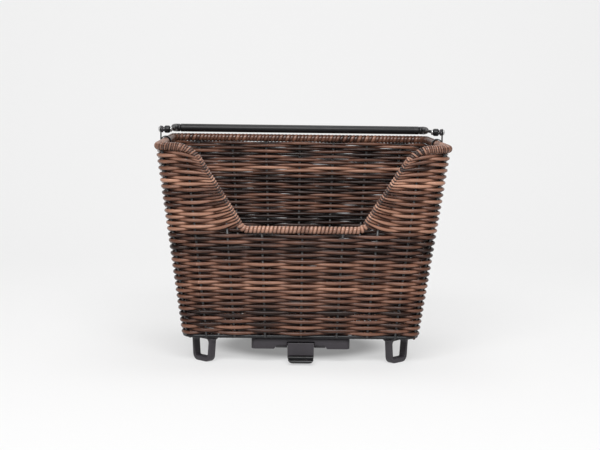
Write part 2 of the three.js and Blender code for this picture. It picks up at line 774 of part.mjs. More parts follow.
function releaseLever() {
  const face = -leverPinBack - leverProud;
  const back = face + leverThickness;
  const lipEnd = face - lipReach;
  const lipRound = lipThickness / 2;
  const outline = new THREE.Shape();
  outline.moveTo(face, leverTop);
  outline.lineTo(face, lipThickness * 2 - leverDrop);
  outline.quadraticCurveTo(face, lipThickness - leverDrop, face - lipThickness, lipThickness - leverDrop);
  outline.lineTo(lipEnd + lipRound, lipThickness - leverDrop);
  outline.absarc(lipEnd + lipRound, lipRound - leverDrop, lipRound, Math.PI / 2, 1.5 * Math.PI);
  outline.lineTo(face, -leverDrop);
  outline.quadraticCurveTo(back, -leverDrop, back, lipThickness * 2 - leverDrop);
  outline.lineTo(back, -toothTop - toothHeight);
  outline.lineTo(back + toothReach, -toothTop - toothHeight / 3);
  outline.lineTo(back + toothReach, -toothTop);
  outline.lineTo(back, -toothTop);
  outline.lineTo(back, -leverKnuckleRadius);
  outline.lineTo(0, -leverKnuckleRadius);
  outline.absarc(0, 0, leverKnuckleRadius, -Math.PI / 2, Math.PI / 2);
  outline.lineTo(back, leverTop);
  const body = profileAlongX(outline, -leverWidth / 2, leverWidth / 2);
  const slotFront = -(springCoilDiameter + springWire) / 2 - clearance;
  const slot = box(
    at(-springSlotWidth / 2, slotFront, -toothTop),
    at(springSlotWidth / 2, leverKnuckleRadius + cutterOverrun, leverKnuckleRadius + cutterOverrun),
  );
  const boreStart = at(-leverWidth / 2 - cutterOverrun, 0, 0);
  const bore = bar(boreStart, at(1, 0, 0), leverWidth + 2 * cutterOverrun, leverBoreDiameter);
  return body.subtract(slot).subtract(bore);
}

// Torsion spring: a straight leg to the back, the coil along X, and a straight leg down behind the lever.
function springRoute() {
  const radius = springCoilDiameter / 2;
  const startAngle = Math.PI / 2;
  const steps = Math.round(springTurns * springStepsPerTurn);
  const length = springTurns * springPitch;
  const points = [at(-length / 2, springBackLeg, radius)];
  for (let i = 0; i <= steps; i += 1) {
    const angle = startAngle + (2 * Math.PI * springTurns * i) / steps;
    points.push(at((length * i) / steps - length / 2, radius * Math.cos(angle), radius * Math.sin(angle)));
  }
  points.push(at(length / 2, -radius, -springFrontLeg));
  return new Route(points);
}

// The least gap between one turn of the coil and another, on the points of its route.
function coilGap(route) {
  const coil = route.points.slice(1, -1);
  const gaps = coil.flatMap((point, i) =>
    coil.slice(i + springStepsPerTurn / 2).map((other) => point.distanceTo(other)),
  );
  return Math.min(...gaps) - springWire;
}

// Fasteners

// A pan-head screw with the underside of its head at the origin.
function panScrew(diameter, headDiameter, length) {
  const shank = bar(at(0, 0, -length), up, length + screwHeadHeight / 2, diameter);
  const dome = new THREE.LatheGeometry(
    [
      new THREE.Vector2(0, 0),
      new THREE.Vector2(headDiameter / 2, 0),
      new THREE.Vector2(headDiameter / 2, screwHeadHeight / 2),
      new THREE.Vector2(headDiameter / 2 - screwHeadHeight / 2, screwHeadHeight),
      new THREE.Vector2(0, screwHeadHeight),
    ],
    pinSides,
  );
  return shank.add(solidOf(dome.rotateX(Math.PI / 2)));
}

function washer(diameter, bore, thickness) {
  const hole = bar(at(0, 0, -cutterOverrun), up, thickness + 2 * cutterOverrun, bore);
  return bar(at(0, 0, 0), up, thickness, diameter).subtract(hole);
}

function clampBar() {
  const outline = roundedRectangle(clampBarLength / 2, clampBarWidth / 2, clampBarWidth / 4);
  const holes = Object.values(sides).map((side) => {
    const start = at((side * adapterScrewSpacing) / 2, 0, -cutterOverrun);
    return bar(start, up, clampBarThickness + 2 * cutterOverrun, screwDiameter + 2 * clearance);
  });
  return holes.reduce((strip, hole) => strip.subtract(hole), plate(outline, 0, clampBarThickness));
}

// Finishes: a fresh material for each mesh

const finish = (color, roughness, metalness) => () =>
  new THREE.MeshStandardMaterial({ color, roughness, metalness });
const brownStrand = finish(0x6b4230, 0.5, 0);
const wrappedStrand = finish(0x83503a, 0.5, 0);
const blackWire = finish(0x17171a, 0.45, 0.4);
const blackPlastic = finish(0x1c1c1f, 0.55, 0);
const gripSleeve = finish(0x141416, 0.4, 0);
const brightSteel = finish(0x9a9a9c, 0.35, 1);
const darkNylon = finish(0x2a2a2c, 0.6, 0);

// Assembly

function addPiece(group, name, solid, material, place = at(0, 0, 0), turn = 0) {
  const { vertProperties, triVerts } = solid.getMesh();
  const geometry = new THREE.BufferGeometry();
  geometry.setAttribute("position", new THREE.BufferAttribute(vertProperties, 3));
  geometry.setIndex(new THREE.BufferAttribute(triVerts, 1));
  geometry.computeVertexNormals();
  const mesh = new THREE.Mesh(geometry, material());
  mesh.name = name;
  mesh.position.copy(place);
  mesh.rotation.z = turn;
  group.add(mesh);
}

function weaveGroup() {
  const group = new THREE.Group();
  const stakeCutter = stakeFrame(clearance, 0); // from the ground up, right through the wall
  const baseCutter = baseFrame(clearance);
  addPiece(group, "stake_frame", stakeFrame(0, wallBottom + clearance), blackWire);
  addPiece(group, "base_frame", baseFrame(0), blackWire);
  addPiece(group, "wicker_walls", wickerWalls(stakeCutter), brownStrand);
  addPiece(group, "wicker_floor", wickerFloor(baseCutter), brownStrand);
  for (const [name, route] of Object.entries(wrapRoutes())) {
    const diameter = name.startsWith("rim") ? rimWrapDiameter : cutoutWrapDiameter;
    addPiece(group, name, tube(route, diameter, tubeSides).subtract(stakeCutter), wrappedStrand);
  }
  return group;
}

function bailGroup() {
  const group = new THREE.Group();
  group.position.z = pivotHeight;
  addPiece(group, "bail_rod", bailRod(), blackWire);
  addPiece(group, "handle_grip", handleGrip(), gripSleeve);
  for (const [name, side] of Object.entries(sides)) {
    addPiece(group, "grip_knuckle_" + name, gripKnuckle(side), blackPlastic);
  }
  return group;
}

function bracketGroup(name, side) {
  const group = new THREE.Group();
  group.position.set(side * rimMiddleX, 0, rimHeight);
  group.rotation.z = side > 0 ? 0 : Math.PI;
  const pivot = at(0, 0, pivotRise);
  addPiece(group, "handle_bracket_" + name, handleBracket(), blackWire);
  addPiece(group, "pivot_pin_" + name, pivotPin(), brightSteel, pivot);
  addPiece(group, "pivot_washer_" + name, pivotWasher(), darkNylon, pivot);
  return group;
}

function feetGroup() {
  const group = new THREE.Group();
  const washerSeat = floorTop + clearance;
  const headSeat = washerSeat + footWasherThickness + clearance;
  const screwLength = headSeat - underFloor + footFlangeThickness - clearance;
  for (const { name, x, y, turn, screwX, screwY } of footPlaces) {
    const screw = panScrew(footScrewDiameter, footScrewHeadDiameter, screwLength);
    const ring = washer(footWasherDiameter, footScrewDiameter + 2 * clearance, footWasherThickness);
    addPiece(group, "foot_" + name, loopFoot(), blackPlastic, at(x, y, 0), turn);
    addPiece(group, "foot_screw_" + name, screw, brightSteel, at(screwX, screwY, headSeat));
    addPiece(group, "foot_washer_" + name, ring, brightSteel, at(screwX, screwY, washerSeat));
  }
  return group;
}

function adapterGroup() {
  const group = new THREE.Group();
  const barSeat = floorTop + clearance;
  const headSeat = barSeat + clampBarThickness + clearance;
  const screwLength = headSeat - underFloor + adapterScrewDepth;
  addPiece(group, "adapter_housing", adapterHousing(), blackPlastic);
  Object.keys(ends).forEach((name, i) => {
    addPiece(group, "clamp_bar_" + name, clampBar(), blackWire, at(0, clampBarPlaces[i], barSeat));
    for (const [sideName, side] of Object.entries(sides)) {
      const screw = panScrew(screwDiameter, screwHeadDiameter, screwLength);
      const place = at((side * adapterScrewSpacing) / 2, clampBarPlaces[i], headSeat);
      addPiece(group, "adapter_screw_" + name + "_" + sideName, screw, brightSteel, place);
    }
  });
  return group;
}

function leverGroup() {
  const group = new THREE.Group();
  group.position.set(0, leverPinY, leverPinZ);
  const spring = springRoute();
  console.log("least gap in the lever spring, mm:", coilGap(spring).toFixed(2));
  const pinStart = at(-leverPinLength / 2, 0, 0);
  addPiece(group, "release_lever", releaseLever(), blackPlastic);
  addPiece(group, "lever_pin", bar(pinStart, at(1, 0, 0), leverPinLength, leverPinDiameter), brightSteel);
  addPiece(group, "lever_spring", tube(spring, springWire, springSides), brightSteel);
  return group;
}

const basket = new THREE.Group();
basket.add(weaveGroup(), bailGroup(), feetGroup(), adapterGroup(), leverGroup());
for (const [name, side] of Object.entries(sides)) basket.add(bracketGroup(name, side));

export default basket;
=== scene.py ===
import math
import random

import bpy
import numpy as np
from mathutils import Matrix, Vector


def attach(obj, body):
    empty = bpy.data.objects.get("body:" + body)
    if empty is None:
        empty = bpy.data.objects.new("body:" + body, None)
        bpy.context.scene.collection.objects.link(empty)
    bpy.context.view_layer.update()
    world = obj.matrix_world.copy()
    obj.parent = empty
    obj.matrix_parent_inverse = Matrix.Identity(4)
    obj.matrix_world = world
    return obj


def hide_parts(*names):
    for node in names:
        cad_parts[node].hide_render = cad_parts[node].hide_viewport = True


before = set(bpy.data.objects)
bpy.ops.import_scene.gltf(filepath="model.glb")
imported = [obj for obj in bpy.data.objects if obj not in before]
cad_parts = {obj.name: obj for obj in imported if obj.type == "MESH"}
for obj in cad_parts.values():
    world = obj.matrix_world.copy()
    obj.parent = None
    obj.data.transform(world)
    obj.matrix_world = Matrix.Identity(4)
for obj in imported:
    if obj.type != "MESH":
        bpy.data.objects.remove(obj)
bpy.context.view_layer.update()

mm = 0.001
dice = random.Random(41)
leftRight = {"Left": -1, "Right": 1}
frontBack = {"Front": -1, "Back": 1}
print("frame loaded,", len(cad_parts), "nodes")


def addObject(name, data):
    made = bpy.data.objects.new(name, data)
    bpy.context.scene.collection.objects.link(made)
    return made


# camera, fitted to points of the photograph
cameraSet = {
    "place": (-0.0389, -1.9981, 0.3897),
    "lens": 83.72,
    "sensor": 36.0,
    "reach": 50.0,
    "down": math.radians(6.005),
    "right": math.radians(1.09),
    "roll": math.radians(0.743),
}


def makeCamera():
    data = bpy.data.cameras.new("camera")
    data.lens, data.sensor_width = cameraSet["lens"], cameraSet["sensor"]
    data.clip_end = cameraSet["reach"]
    camera = addObject("camera", data)
    yaw, down, roll = cameraSet["right"], cameraSet["down"], cameraSet["roll"]
    ahead = Vector((math.sin(yaw) * math.cos(down), math.cos(yaw) * math.cos(down), -math.sin(down)))
    level = Vector((math.cos(yaw), -math.sin(yaw), 0))
    above = level.cross(ahead)
    right = level * math.cos(roll) + above * math.sin(roll)
    up = above * math.cos(roll) - level * math.sin(roll)
    turn = Matrix((right, up, -ahead)).transposed()
    camera.matrix_world = Matrix.Translation(cameraSet["place"]) @ turn.to_4x4()
    bpy.context.scene.camera = camera


makeCamera()


# shader maths: a wrapped socket, so that sums and products read as they are written

class Wire:
    def __init__(self, tree, socket=None):
        self.tree = tree
        self.socket = socket

    def node(self, kind, settings=None, sockets=None, out=0):
        made = self.tree.nodes.new("ShaderNode" + kind)
        for key, value in (settings or {}).items():
            if key == "stops":
                for i, (place, colour) in enumerate(value):
                    elements = made.color_ramp.elements
                    stop = elements[i] if i < 2 else elements.new(place)
                    stop.position = place
                    stop.color = (*colour, 1)
            else:
                setattr(made, key, value)
        for key, value in (sockets or {}).items():
            if isinstance(value, Wire):
                self.tree.links.new(value.socket, made.inputs[key])
            else:
                made.inputs[key].default_value = value
        return Wire(self.tree, made.outputs[out])

    def calc(self, operation, first, second=0.0):
        return self.node("Math", {"operation": operation}, {0: first, 1: second})

    def __add__(self, other):
        return self.calc("ADD", self, other)

    __radd__ = __add__

    def __sub__(self, other):
        return self.calc("SUBTRACT", self, other)

    def __rsub__(self, other):
        return self.calc("SUBTRACT", other, self)

    def __mul__(self, other):
        return self.calc("MULTIPLY", self, other)

    __rmul__ = __mul__

    def positive(self):
        return self.calc("MAXIMUM", self, 0.0)

    def part(self, index):
        return self.node("SeparateXYZ", None, {0: self}, index)

    def parts(self):
        return [self.part(index) for index in range(3)]

    def vector(self, x, y, z):
        return self.node("CombineXYZ", None, {0: x, 1: y, 2: z})

    def place(self):
        return self.node("TexCoord", out="Object")

    def attribute(self, name):
        return self.node("Attribute", {"attribute_name": name}, out="Vector")

    def noise(self, vector, scale, detail=2.0):
        return self.node("TexNoise", None, {"Vector": vector, "Scale": scale, "Detail": detail})

    def fade(self, value, span, ends, kind="LINEAR"):
        return self.node("MapRange", {"interpolation_type": kind}, dict(enumerate((value, *span, *ends))))

    def bump(self, height, strength, depth):
        return self.node("Bump", None, {"Strength": strength, "Distance": depth, "Height": height})

    def mix(self, factor, first, second):
        return self.node("Mix", {"data_type": "RGBA"}, {0: factor, 6: first, 7: second}, 2)


def newMaterial(name, fixed, sockets):
    material = bpy.data.materials.new(name)
    material.use_nodes = True
    tree = material.node_tree
    shader = tree.nodes["Principled BSDF"]
    for key, value in {**fixed, **sockets(Wire(tree))}.items():
        if isinstance(value, Wire):
            tree.links.new(value.socket, shader.inputs[key])
        else:
            shader.inputs[key].default_value = value
    return material


strandLook = {
    "stops": [(0.0, (0.0085, 0.0038, 0.0028)), (1.0, (0.46, 0.245, 0.165)),
              (0.30, (0.036, 0.0155, 0.0105)), (0.62, (0.160, 0.072, 0.046))],
    "mottles": [{"along": 7.0, "step": 91, "slice": 0, "detail": 1.0, "sway": 0.8},
                {"along": 45.0, "step": 57, "slice": 3, "detail": 2.0, "sway": 0.35}],
    "streak": {"along": 18.0, "across": 2.2, "step": 40, "detail": 3.0, "sway": 0.45},
    "groove": {"along": 14.0, "across": 6.0, "strength": 0.3, "depth": 0.0004},
    "rough": (0.15, 0.18),
    # recess and edge set painted shade: strands darker where they pass behind a stake and along their upper
    # and lower edges
    "recess": 0.40,
    "edge": 0.16,
    "lift": 0.10,
    # painted shade: the inner face darkens below this height, at this rate per metre
    "inside": 1.3,
    "paintedShadeTop": 0.30,
    "specular": {"wovenStrand": 0.26, "wrappedStrand": 0.62},
}


# strandWay holds length, outward and sideways
# strandMark holds tone, seed and how far out the strand lies
def strandSockets(graph):
    look, fine, cut = strandLook, strandLook["streak"], strandLook["groove"]
    run, face, side = graph.attribute("strandWay").parts()
    tone, seed, lies = graph.attribute("strandMark").parts()
    shade = tone + look["lift"]
    for mottle in look["mottles"]:
        place = graph.vector(run * mottle["along"], seed * mottle["step"], mottle["slice"])
        shade = shade + (graph.noise(place, 1.0, mottle["detail"]) - 0.5) * mottle["sway"]
    across = side * fine["across"] + seed * fine["step"]
    place = graph.vector(run * fine["along"], face * fine["across"], across)
    streak = graph.noise(place, 1.0, fine["detail"])
    # painted shade: darker where the strand lies behind a stake, and along its edges where it meets the
    # next rows
    recess = (0 - face * lies).positive()
    shade = shade + (streak - 0.5) * fine["sway"] - recess * look["recess"] - side * side * look["edge"]
    below = look["paintedShadeTop"] - graph.place().part(2)  # painted shade: the inner face darkens the deeper it lies below the rim
    shade = shade - (0 - face).positive() * below * look["inside"]
    colour = graph.node("ValToRGB", {"stops": look["stops"]}, {0: shade})
    place = graph.vector(run * cut["along"], face * cut["across"], side * cut["across"])
    bump = graph.bump(graph.noise(place, 1.0), cut["strength"], cut["depth"])
    least, sway = look["rough"]
    return {"Base Color": colour, "Roughness": least + streak * sway, "Normal": bump}


blackLooks = {
    "blackPlastic": {"dark": (0.022, 0.019, 0.023), "light": (0.042, 0.036, 0.044),
                     "grain": 1400, "depth": 0.0001, "rough": 0.5, "specular": 0.5},
    "knucklePlastic": {"dark": (0.007, 0.007, 0.008), "light": (0.016, 0.016, 0.018),
                       "grain": 1600, "depth": 0.00004, "rough": 0.42, "specular": 0.5},
    "blackLacquer": {"dark": (0.006, 0.006, 0.007), "light": (0.013, 0.013, 0.015),
                     "grain": 900, "depth": 0.00004, "rough": 0.30, "specular": 0.3},
    # painted sheen: the stakes are the same black wire as the rest, made lighter grey to stand in for their
    # highlights
    "stakeLacquerPaintedSheen": {"dark": (0.030, 0.030, 0.031), "light": (0.062, 0.062, 0.064),
                     "grain": 900, "depth": 0.00004, "rough": 0.32, "specular": 0.5},
    "gripRubber": {"dark": (0.004, 0.004, 0.005), "light": (0.009, 0.009, 0.010),
                   "grain": 1800, "depth": 0.00005, "rough": 0.46, "specular": 0.4},
}
speckle = {"broader": 30, "bump": 0.5, "fineSway": 0.18, "broadSway": 0.1}
leverLip = {"heights": (0.0105, 0.0122), "colour": (0.005, 0.005, 0.006, 1), "gloss": 0.3}
steelLook = {
    "dark": (0.42, 0.42, 0.43, 1),
    "light": (0.62, 0.62, 0.61, 1),
    "brush": (1.0, 1.0, 14.0),
    "brushGrain": 700,
    "cloudGrain": 60,
    "rough": (0.25, 0.2),
}


def speckled(look):
    def sockets(graph):
        place = graph.place()
        fine = graph.noise(place, look["grain"], 3.0)
        broad = graph.noise(place, look["grain"] / speckle["broader"])
        base = graph.mix((fine + broad) * 0.5, (*look["dark"], 1), (*look["light"], 1))
        sway = (fine - 0.5) * speckle["fineSway"] + (broad - 0.5) * speckle["broadSway"]
        bump = graph.bump(fine, speckle["bump"], look["depth"])
        return {"Base Color": base, "Roughness": look["rough"] + sway, "Normal": bump}
    return sockets


# matt plastic, darker and glossier along the lip that is pulled
def leverSockets(graph):
    matt = speckled(blackLooks["blackPlastic"])(graph)
    lip = graph.fade(graph.place().part(2), leverLip["heights"], (1.0, 0.0))
    base = graph.mix(lip, matt["Base Color"], leverLip["colour"])
    return {**matt, "Base Color": base, "Roughness": matt["Roughness"] * (1 - lip * leverLip["gloss"])}


def steelSockets(graph):
    place = graph.place()
    brushed = graph.noise(graph.node("Mapping", None, {0: place, 3: steelLook["brush"]}),
                          steelLook["brushGrain"], 3.0)
    base = graph.mix(graph.noise(place, steelLook["cloudGrain"]), steelLook["dark"], steelLook["light"])
    least, sway = steelLook["rough"]
    return {"Base Color": base, "Roughness": least + brushed * sway}


strandFinish = {name: newMaterial(name, {"Specular IOR Level": level}, strandSockets)
                for name, level in strandLook["specular"].items()}
blackFinish = {name: newMaterial(name, {"Specular IOR Level": look["specular"]}, speckled(look))
               for name, look in blackLooks.items()}
leverPlastic = newMaterial("leverPlastic", {}, leverSockets)
finishOf = {
    "brown_strand": strandFinish["wovenStrand"],
    "wrapped_strand": strandFinish["wrappedStrand"],
    "black_wire": blackFinish["blackLacquer"],
    "black_plastic": blackFinish["blackPlastic"],
    "grip_sleeve": blackFinish["gripRubber"],
    "bright_steel": newMaterial("zincSteel", {"Metallic": 1.0}, steelSockets),
}


def placePiece(piece, body, slot, *nodes, finish=None):
    piece.data.materials.clear()
    piece.data.materials.append(finish or finishOf[slot])
    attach(piece, body)
    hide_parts(*nodes)


# routes, and tubes along them with the marks that the strand material reads

bendStep = {
    "wire": math.radians(7),
    "wideBend": math.radians(3),
    "outline": math.radians(15),
    "profile": math.radians(18),
}
plainMarks = {"tone": 0.5, "seed": 0.0, "lies": 0.0}
startSpread = 5


def unit(way):
    return way / (np.linalg.norm(way) if way.ndim == 1 else np.linalg.norm(way, axis=1)[:, None])


def runLengths(points):
    return np.concatenate([[0], np.cumsum(np.linalg.norm(np.diff(points, axis=0), axis=1))])


def alongRoute(route, run):
    lengths = runLengths(route)
    return np.stack([np.interp(run, lengths, route[:, k]) for k in range(3)], -1)


def bent(points, bends, step=bendStep["wire"]):
    points = [np.array(point, float) for point in points]
    route = [points[0]]
    for before, corner, after, bend in zip(points, points[1:], points[2:], bends):
        toBefore, toAfter = unit(before - corner), unit(after - corner)
        half = math.acos(np.clip(toBefore @ toAfter, -1, 1)) / 2
        centre = corner + unit(toBefore + toAfter) * bend / math.sin(half)
        spoke = corner + toBefore * bend / math.tan(half) - centre
        axis = unit(np.cross(toAfter, toBefore))
        turn = math.pi - 2 * half
        steps = math.ceil(turn / step)
        for angle in turn * np.arange(steps + 1) / steps:
            route.append(centre + spoke * math.cos(angle) + np.cross(axis, spoke) * math.sin(angle))
    return np.array([*route, points[-1]])


def strandDraw():
    return {"seed": dice.random(), "start": dice.uniform(0, startSpread)}


def forEach(value, count):
    return np.broadcast_to(np.asarray(value, float), count)


def strandPiece(name, strands, sides):
    angle = 2 * math.pi * np.arange(sides) / sides
    places, faces, ways, marks = [], [], [], []
    first = 0
    for strand in strands:
        path = np.asarray(strand["path"], float)
        out = np.asarray(strand["out"], float)
        count = len(path)
        closed = strand.get("closed", False)
        ahead = np.roll(path, -1, 0) - np.roll(path, 1, 0)
        if not closed:
            ahead[0] = path[1] - path[0]
            ahead[-1] = path[-1] - path[-2]
        ahead = unit(ahead)
        side = unit(np.cross(ahead, out))
        face = np.cross(side, ahead)
        thick, wide = (forEach(strand[key], count)[:, None, None] for key in ("thick", "wide"))
        ring = path[:, None] + np.cos(angle)[None, :, None] * thick * face[:, None]
        ring = ring + np.sin(angle)[None, :, None] * wide * side[:, None]
        places.append(ring.reshape(-1, 3))
        run = runLengths(path) + strand.get("start", 0)
        way = np.broadcast_arrays(run[:, None], np.cos(angle), np.sin(angle))
        ways.append(np.stack(way, -1).reshape(-1, 3))
        mark = [forEach(strand.get(key, plain), count) for key, plain in plainMarks.items()]
        marks.append(np.repeat(np.stack(mark, -1), sides, 0))
        i = np.arange(count if closed else count - 1)[:, None]
        j = np.arange(sides)[None, :]
        nextRow, nextSide = (i + 1) % count, (j + 1) % sides
        quads = [i * sides + j, i * sides + nextSide, nextRow * sides + nextSide, nextRow * sides + j]
        faces.extend((np.stack(quads, -1).reshape(-1, 4) + first).tolist())
        if not closed:
            faces.append([first + k for k in reversed(range(sides))])
            faces.append([first + (count - 1) * sides + k for k in range(sides)])
        first += count * sides
    mesh = bpy.data.meshes.new(name)
    mesh.from_pydata(np.concatenate(places).tolist(), [], faces)
    for label, rows in (("strandWay", ways), ("strandMark", marks)):
        layer = mesh.attributes.new(label, "FLOAT_VECTOR", "POINT")
        layer.data.foreach_set("vector", np.concatenate(rows).astype(np.float32).ravel())
    mesh.shade_smooth()
    return addObject(name, mesh)


# walls: half sizes of the middle of the wall at a height, and the way round it

basket = {
    "baseHalf": (160 * mm, 116 * mm),
    "rimHalf": (194 * mm, 149 * mm),
    "baseHeight": 38 * mm,
    "rimHeight": 298 * mm,
    "corner": 18 * mm,
    "frontShares": [-0.805, -0.565, -0.305, 0, 0.305, 0.565, 0.805],
    "backShares": [i * 0.268 for i in range(-3, 4)],
    "sideShares": [i * 0.3356 for i in range(-2, 3)],
    "stakeRadius": 1.5 * mm,
}
cutout = {
    "topHalf": 150 * mm,
    "lipHalf": 80.25 * mm,
    "lipHeight": 187.0 * mm,
    "bend": 12 * mm,
    "topBend": 40 * mm,
    "setback": 10 * mm,
    "topSetback": 27 * mm,
    "wrapEnd": 158 * mm,
    "tuckSteps": 5,
}
wallLean = math.atan2(basket["rimHalf"][0] - basket["baseHalf"][0],
                      basket["rimHeight"] - basket["baseHeight"])


def wallHalf(z):
    share = (z - basket["baseHeight"]) / (basket["rimHeight"] - basket["baseHeight"])
    low, high = np.array(basket["baseHalf"]), np.array(basket["rimHalf"])
    return low + share * (high - low)


def wallLengths(z):
    halfX, halfY = wallHalf(z)
    corner = basket["corner"]
    longRun, shortRun, arc = 2 * (halfX - corner), 2 * (halfY - corner), math.pi * corner / 2
    return np.cumsum([0, longRun, arc, shortRun, arc, longRun, arc, shortRun, arc])


def aroundWall(z, along):
    halfX, halfY = wallHalf(z)
    corner = basket["corner"]
    inX, inY = halfX - corner, halfY - corner
    starts = wallLengths(z)
    along = np.mod(along, starts[-1])
    leg = np.searchsorted(starts, along, side="right") - 1
    rest = along - starts[leg]
    place, out = np.empty((len(along), 3)), np.zeros((len(along), 3))
    place[:, 2] = z
    straights = {0: ((-inX, -halfY), (1, 0)), 2: ((halfX, -inY), (0, 1)),
                 4: ((inX, halfY), (-1, 0)), 6: ((-halfX, inY), (0, -1))}
    for index, (start, way) in straights.items():
        on = leg == index
        place[on, :2] = np.array(start) + rest[on, None] * np.array(way)
        out[on, :2] = (way[1], -way[0])
    arcs = {1: ((inX, -inY), -0.5), 3: ((inX, inY), 0), 5: ((-inX, inY), 0.5), 7: ((-inX, -inY), 1)}
    for index, (middle, turn) in arcs.items():
        on = leg == index
        angle = turn * math.pi + rest[on] / corner
        out[on, :2] = np.stack([np.cos(angle), np.sin(angle)], -1)
        place[on, :2] = np.array(middle) + corner * out[on, :2]
    out *= math.cos(wallLean)
    out[:, 2] = -math.sin(wallLean)
    return place, out


def stakePlaces(z):
    halfX, halfY = wallHalf(z)
    starts = wallLengths(z)
    middles = (starts[:-1] + starts[1:]) / 2
    runs = {0: ("frontShares", halfX), 2: ("sideShares", halfY),
            4: ("backShares", halfX), 6: ("sideShares", halfY)}
    places = []
    for leg in range(8):
        if leg in runs:
            shares, half = runs[leg]
            places.extend(middles[leg] + share * half for share in basket[shares])
        else:
            places.append(middles[leg])
    return np.array(places), starts[-1]


weave = {
    "firstRow": 42.9 * mm,
    "lastRow": 290.0 * mm,
    "rows": 60,
    "wholeRows": 33,
    "lipLift": 1.4 * mm,
    "lipSpread": 8,
    "swing": 2.95 * mm,
    "thick": 2.05 * mm,
    "wide": 2.08 * mm,
    "wideAtStake": 2.6 * mm,
    # painted shade: tone offset for the strands of the back wall
    "backShade": -0.14,
    "stepsPerStake": 9,
    "sides": 8,
    "wobble": 0.24 * mm,
    "toneScatter": 0.19,
    "bands": [(43, 0.48), (69, 0.28), (105, 0.57), (140, 0.47), (160, 0.23), (190, 0.62),
              (212, 0.62), (234, 0.28), (252, 0.84), (274, 0.36), (288, 0.70)],
    "waves": (1, 0.6),
    "waveCycles": ((5, 9), (14, 19)),
    "endRun": 42 * mm,
    "endLow": 195 * mm,
    "endHigh": 283 * mm,
    "endLate": 0.45,
    "endClear": 1 * mm,
    "endSteps": np.linspace(2, 30, 9) * mm,
}
edgeWrap = {
    "middle": 3.7 * mm,
    "thick": 1.3 * mm,
    "wide": 1.35 * mm,
    "lift": 0.05,
    "loopClimb": 4.3 * mm,
    "loopTurn": 235,
    "loopSteps": 15,
    "loopRun": 30 * mm,
    "tailSteps": np.linspace(4, 14, 4) * mm,
    "tailWay": (0.92, 0.2),
}


def bandTone(z):
    heights, tones = zip(*weave["bands"])
    return float(np.interp(z / mm, heights, tones)) + dice.uniform(-1, 1) * weave["toneScatter"]


def edgeShare(z):
    return (z - cutout["lipHeight"]) / (basket["rimHeight"] - cutout["lipHeight"])


def diagonalHalf(z):
    return cutout["lipHalf"] + edgeShare(z) * (cutout["topHalf"] - cutout["lipHalf"])


def edgeFrame(side, z):
    top = np.array([side * cutout["topHalf"], -basket["rimHalf"][1], basket["rimHeight"]])
    low = np.array([side * cutout["lipHalf"], -wallHalf(cutout["lipHeight"])[1], cutout["lipHeight"]])
    upward = unit(top - low)
    front = unit(np.array([0, -1, 0]) + upward * upward[1])
    opening = np.cross(upward, front) * -side
    return low + edgeShare(z) * (top - low), upward, front, opening


# places between wires, and a swing from one side of a wire to the other side of the next
def overUnder(wires, steps, row):
    share = np.arange(steps) / steps
    along = (wires[:-1, None] + share[None] * np.diff(wires)[:, None]).ravel()
    signs = np.where((np.arange(len(wires) - 1) + row) % 2, 1.0, -1.0)
    return along, (signs[:, None] * np.cos(math.pi * share)[None]).ravel()


def rowPath(row, z, end=None):
    stakes, total = stakePlaces(z)
    along, swing = overUnder(np.append(stakes, stakes[0] + total), weave["stepsPerStake"], row)
    crest, swing = np.abs(swing), swing * weave["swing"]
    near = np.zeros(len(along))
    if end is not None:
        frontMiddle = wallLengths(z)[1] / 2
        start, stop = frontMiddle + diagonalHalf(end), total + frontMiddle - diagonalHalf(end)
        along, swing, crest = np.append(along, along + total), np.tile(swing, 2), np.tile(crest, 2)
        inside = (along > start + weave["endClear"]) & (along < stop - weave["endClear"])
        steps = weave["endSteps"]
        wanted = np.sort(np.r_[start, along[inside], stop, start + steps, stop - steps])
        swing, crest = np.interp(wanted, along, swing), np.interp(wanted, along, crest)
        along = wanted
        near = np.clip(1 - np.minimum(along - start, stop - along) / weave["endRun"], 0, 1)
    phases = [dice.uniform(0, 2 * math.pi) for wave in weave["waves"]]
    cycles = [dice.randint(*span) for span in weave["waveCycles"]]
    place, out = aroundWall(z, along)
    lift = sum(wave * np.sin(2 * math.pi * count * along / total + phase)
               for wave, count, phase in zip(weave["waves"], cycles, phases))
    late = np.clip((near - weave["endLate"]) / (1 - weave["endLate"]), 0, 1)
    ease = late * late * (3 - 2 * late)
    place[:, 2] += lift * weave["wobble"] * (1 - ease)
    lies = swing / weave["swing"] * (1 - ease)
    swing = swing * (1 - ease) + edgeWrap["middle"] * ease
    if end is not None:
        rise = (end - z) * near ** 2
        place[:, 2] += rise
        place[:, 1] -= rise * math.tan(wallLean)
    wide = weave["wide"] + crest * (weave["wideAtStake"] - weave["wide"])
    size = {
        "thick": weave["thick"] + ease * (edgeWrap["thick"] - weave["thick"]),
        "wide": wide + ease * (edgeWrap["wide"] - wide),
    }
    # painted shade: strands darken towards the back wall
    shade = weave["backShade"] * np.clip(place[:, 1] / wallHalf(z)[1], 0, 1)
    return {"path": place + out * swing[:, None], "out": out, "shade": shade, "lies": lies, **size}


def weaveRows():
    whole, parted, ends = [], [], []
    heights = np.linspace(weave["firstRow"], weave["lastRow"], weave["rows"])
    endHeights = np.linspace(weave["endLow"], weave["endHigh"], weave["rows"] - weave["wholeRows"])
    for row, z in enumerate(heights):
        z += weave["lipLift"] * math.exp(-((row - weave["wholeRows"]) / weave["lipSpread"]) ** 2)
        strand = {"tone": bandTone(z), **strandDraw()}
        end = None if row < weave["wholeRows"] else endHeights[row - weave["wholeRows"]]
        laid = rowPath(row, z, end)
        laid = {**strand, **laid, "tone": strand["tone"] + laid["shade"], "closed": end is None}
        if end is None:
            whole.append(laid)
        else:
            parted.append(laid)
            ends.append((end, strand, runLengths(laid["path"])[-1]))
    return whole, parted, ends


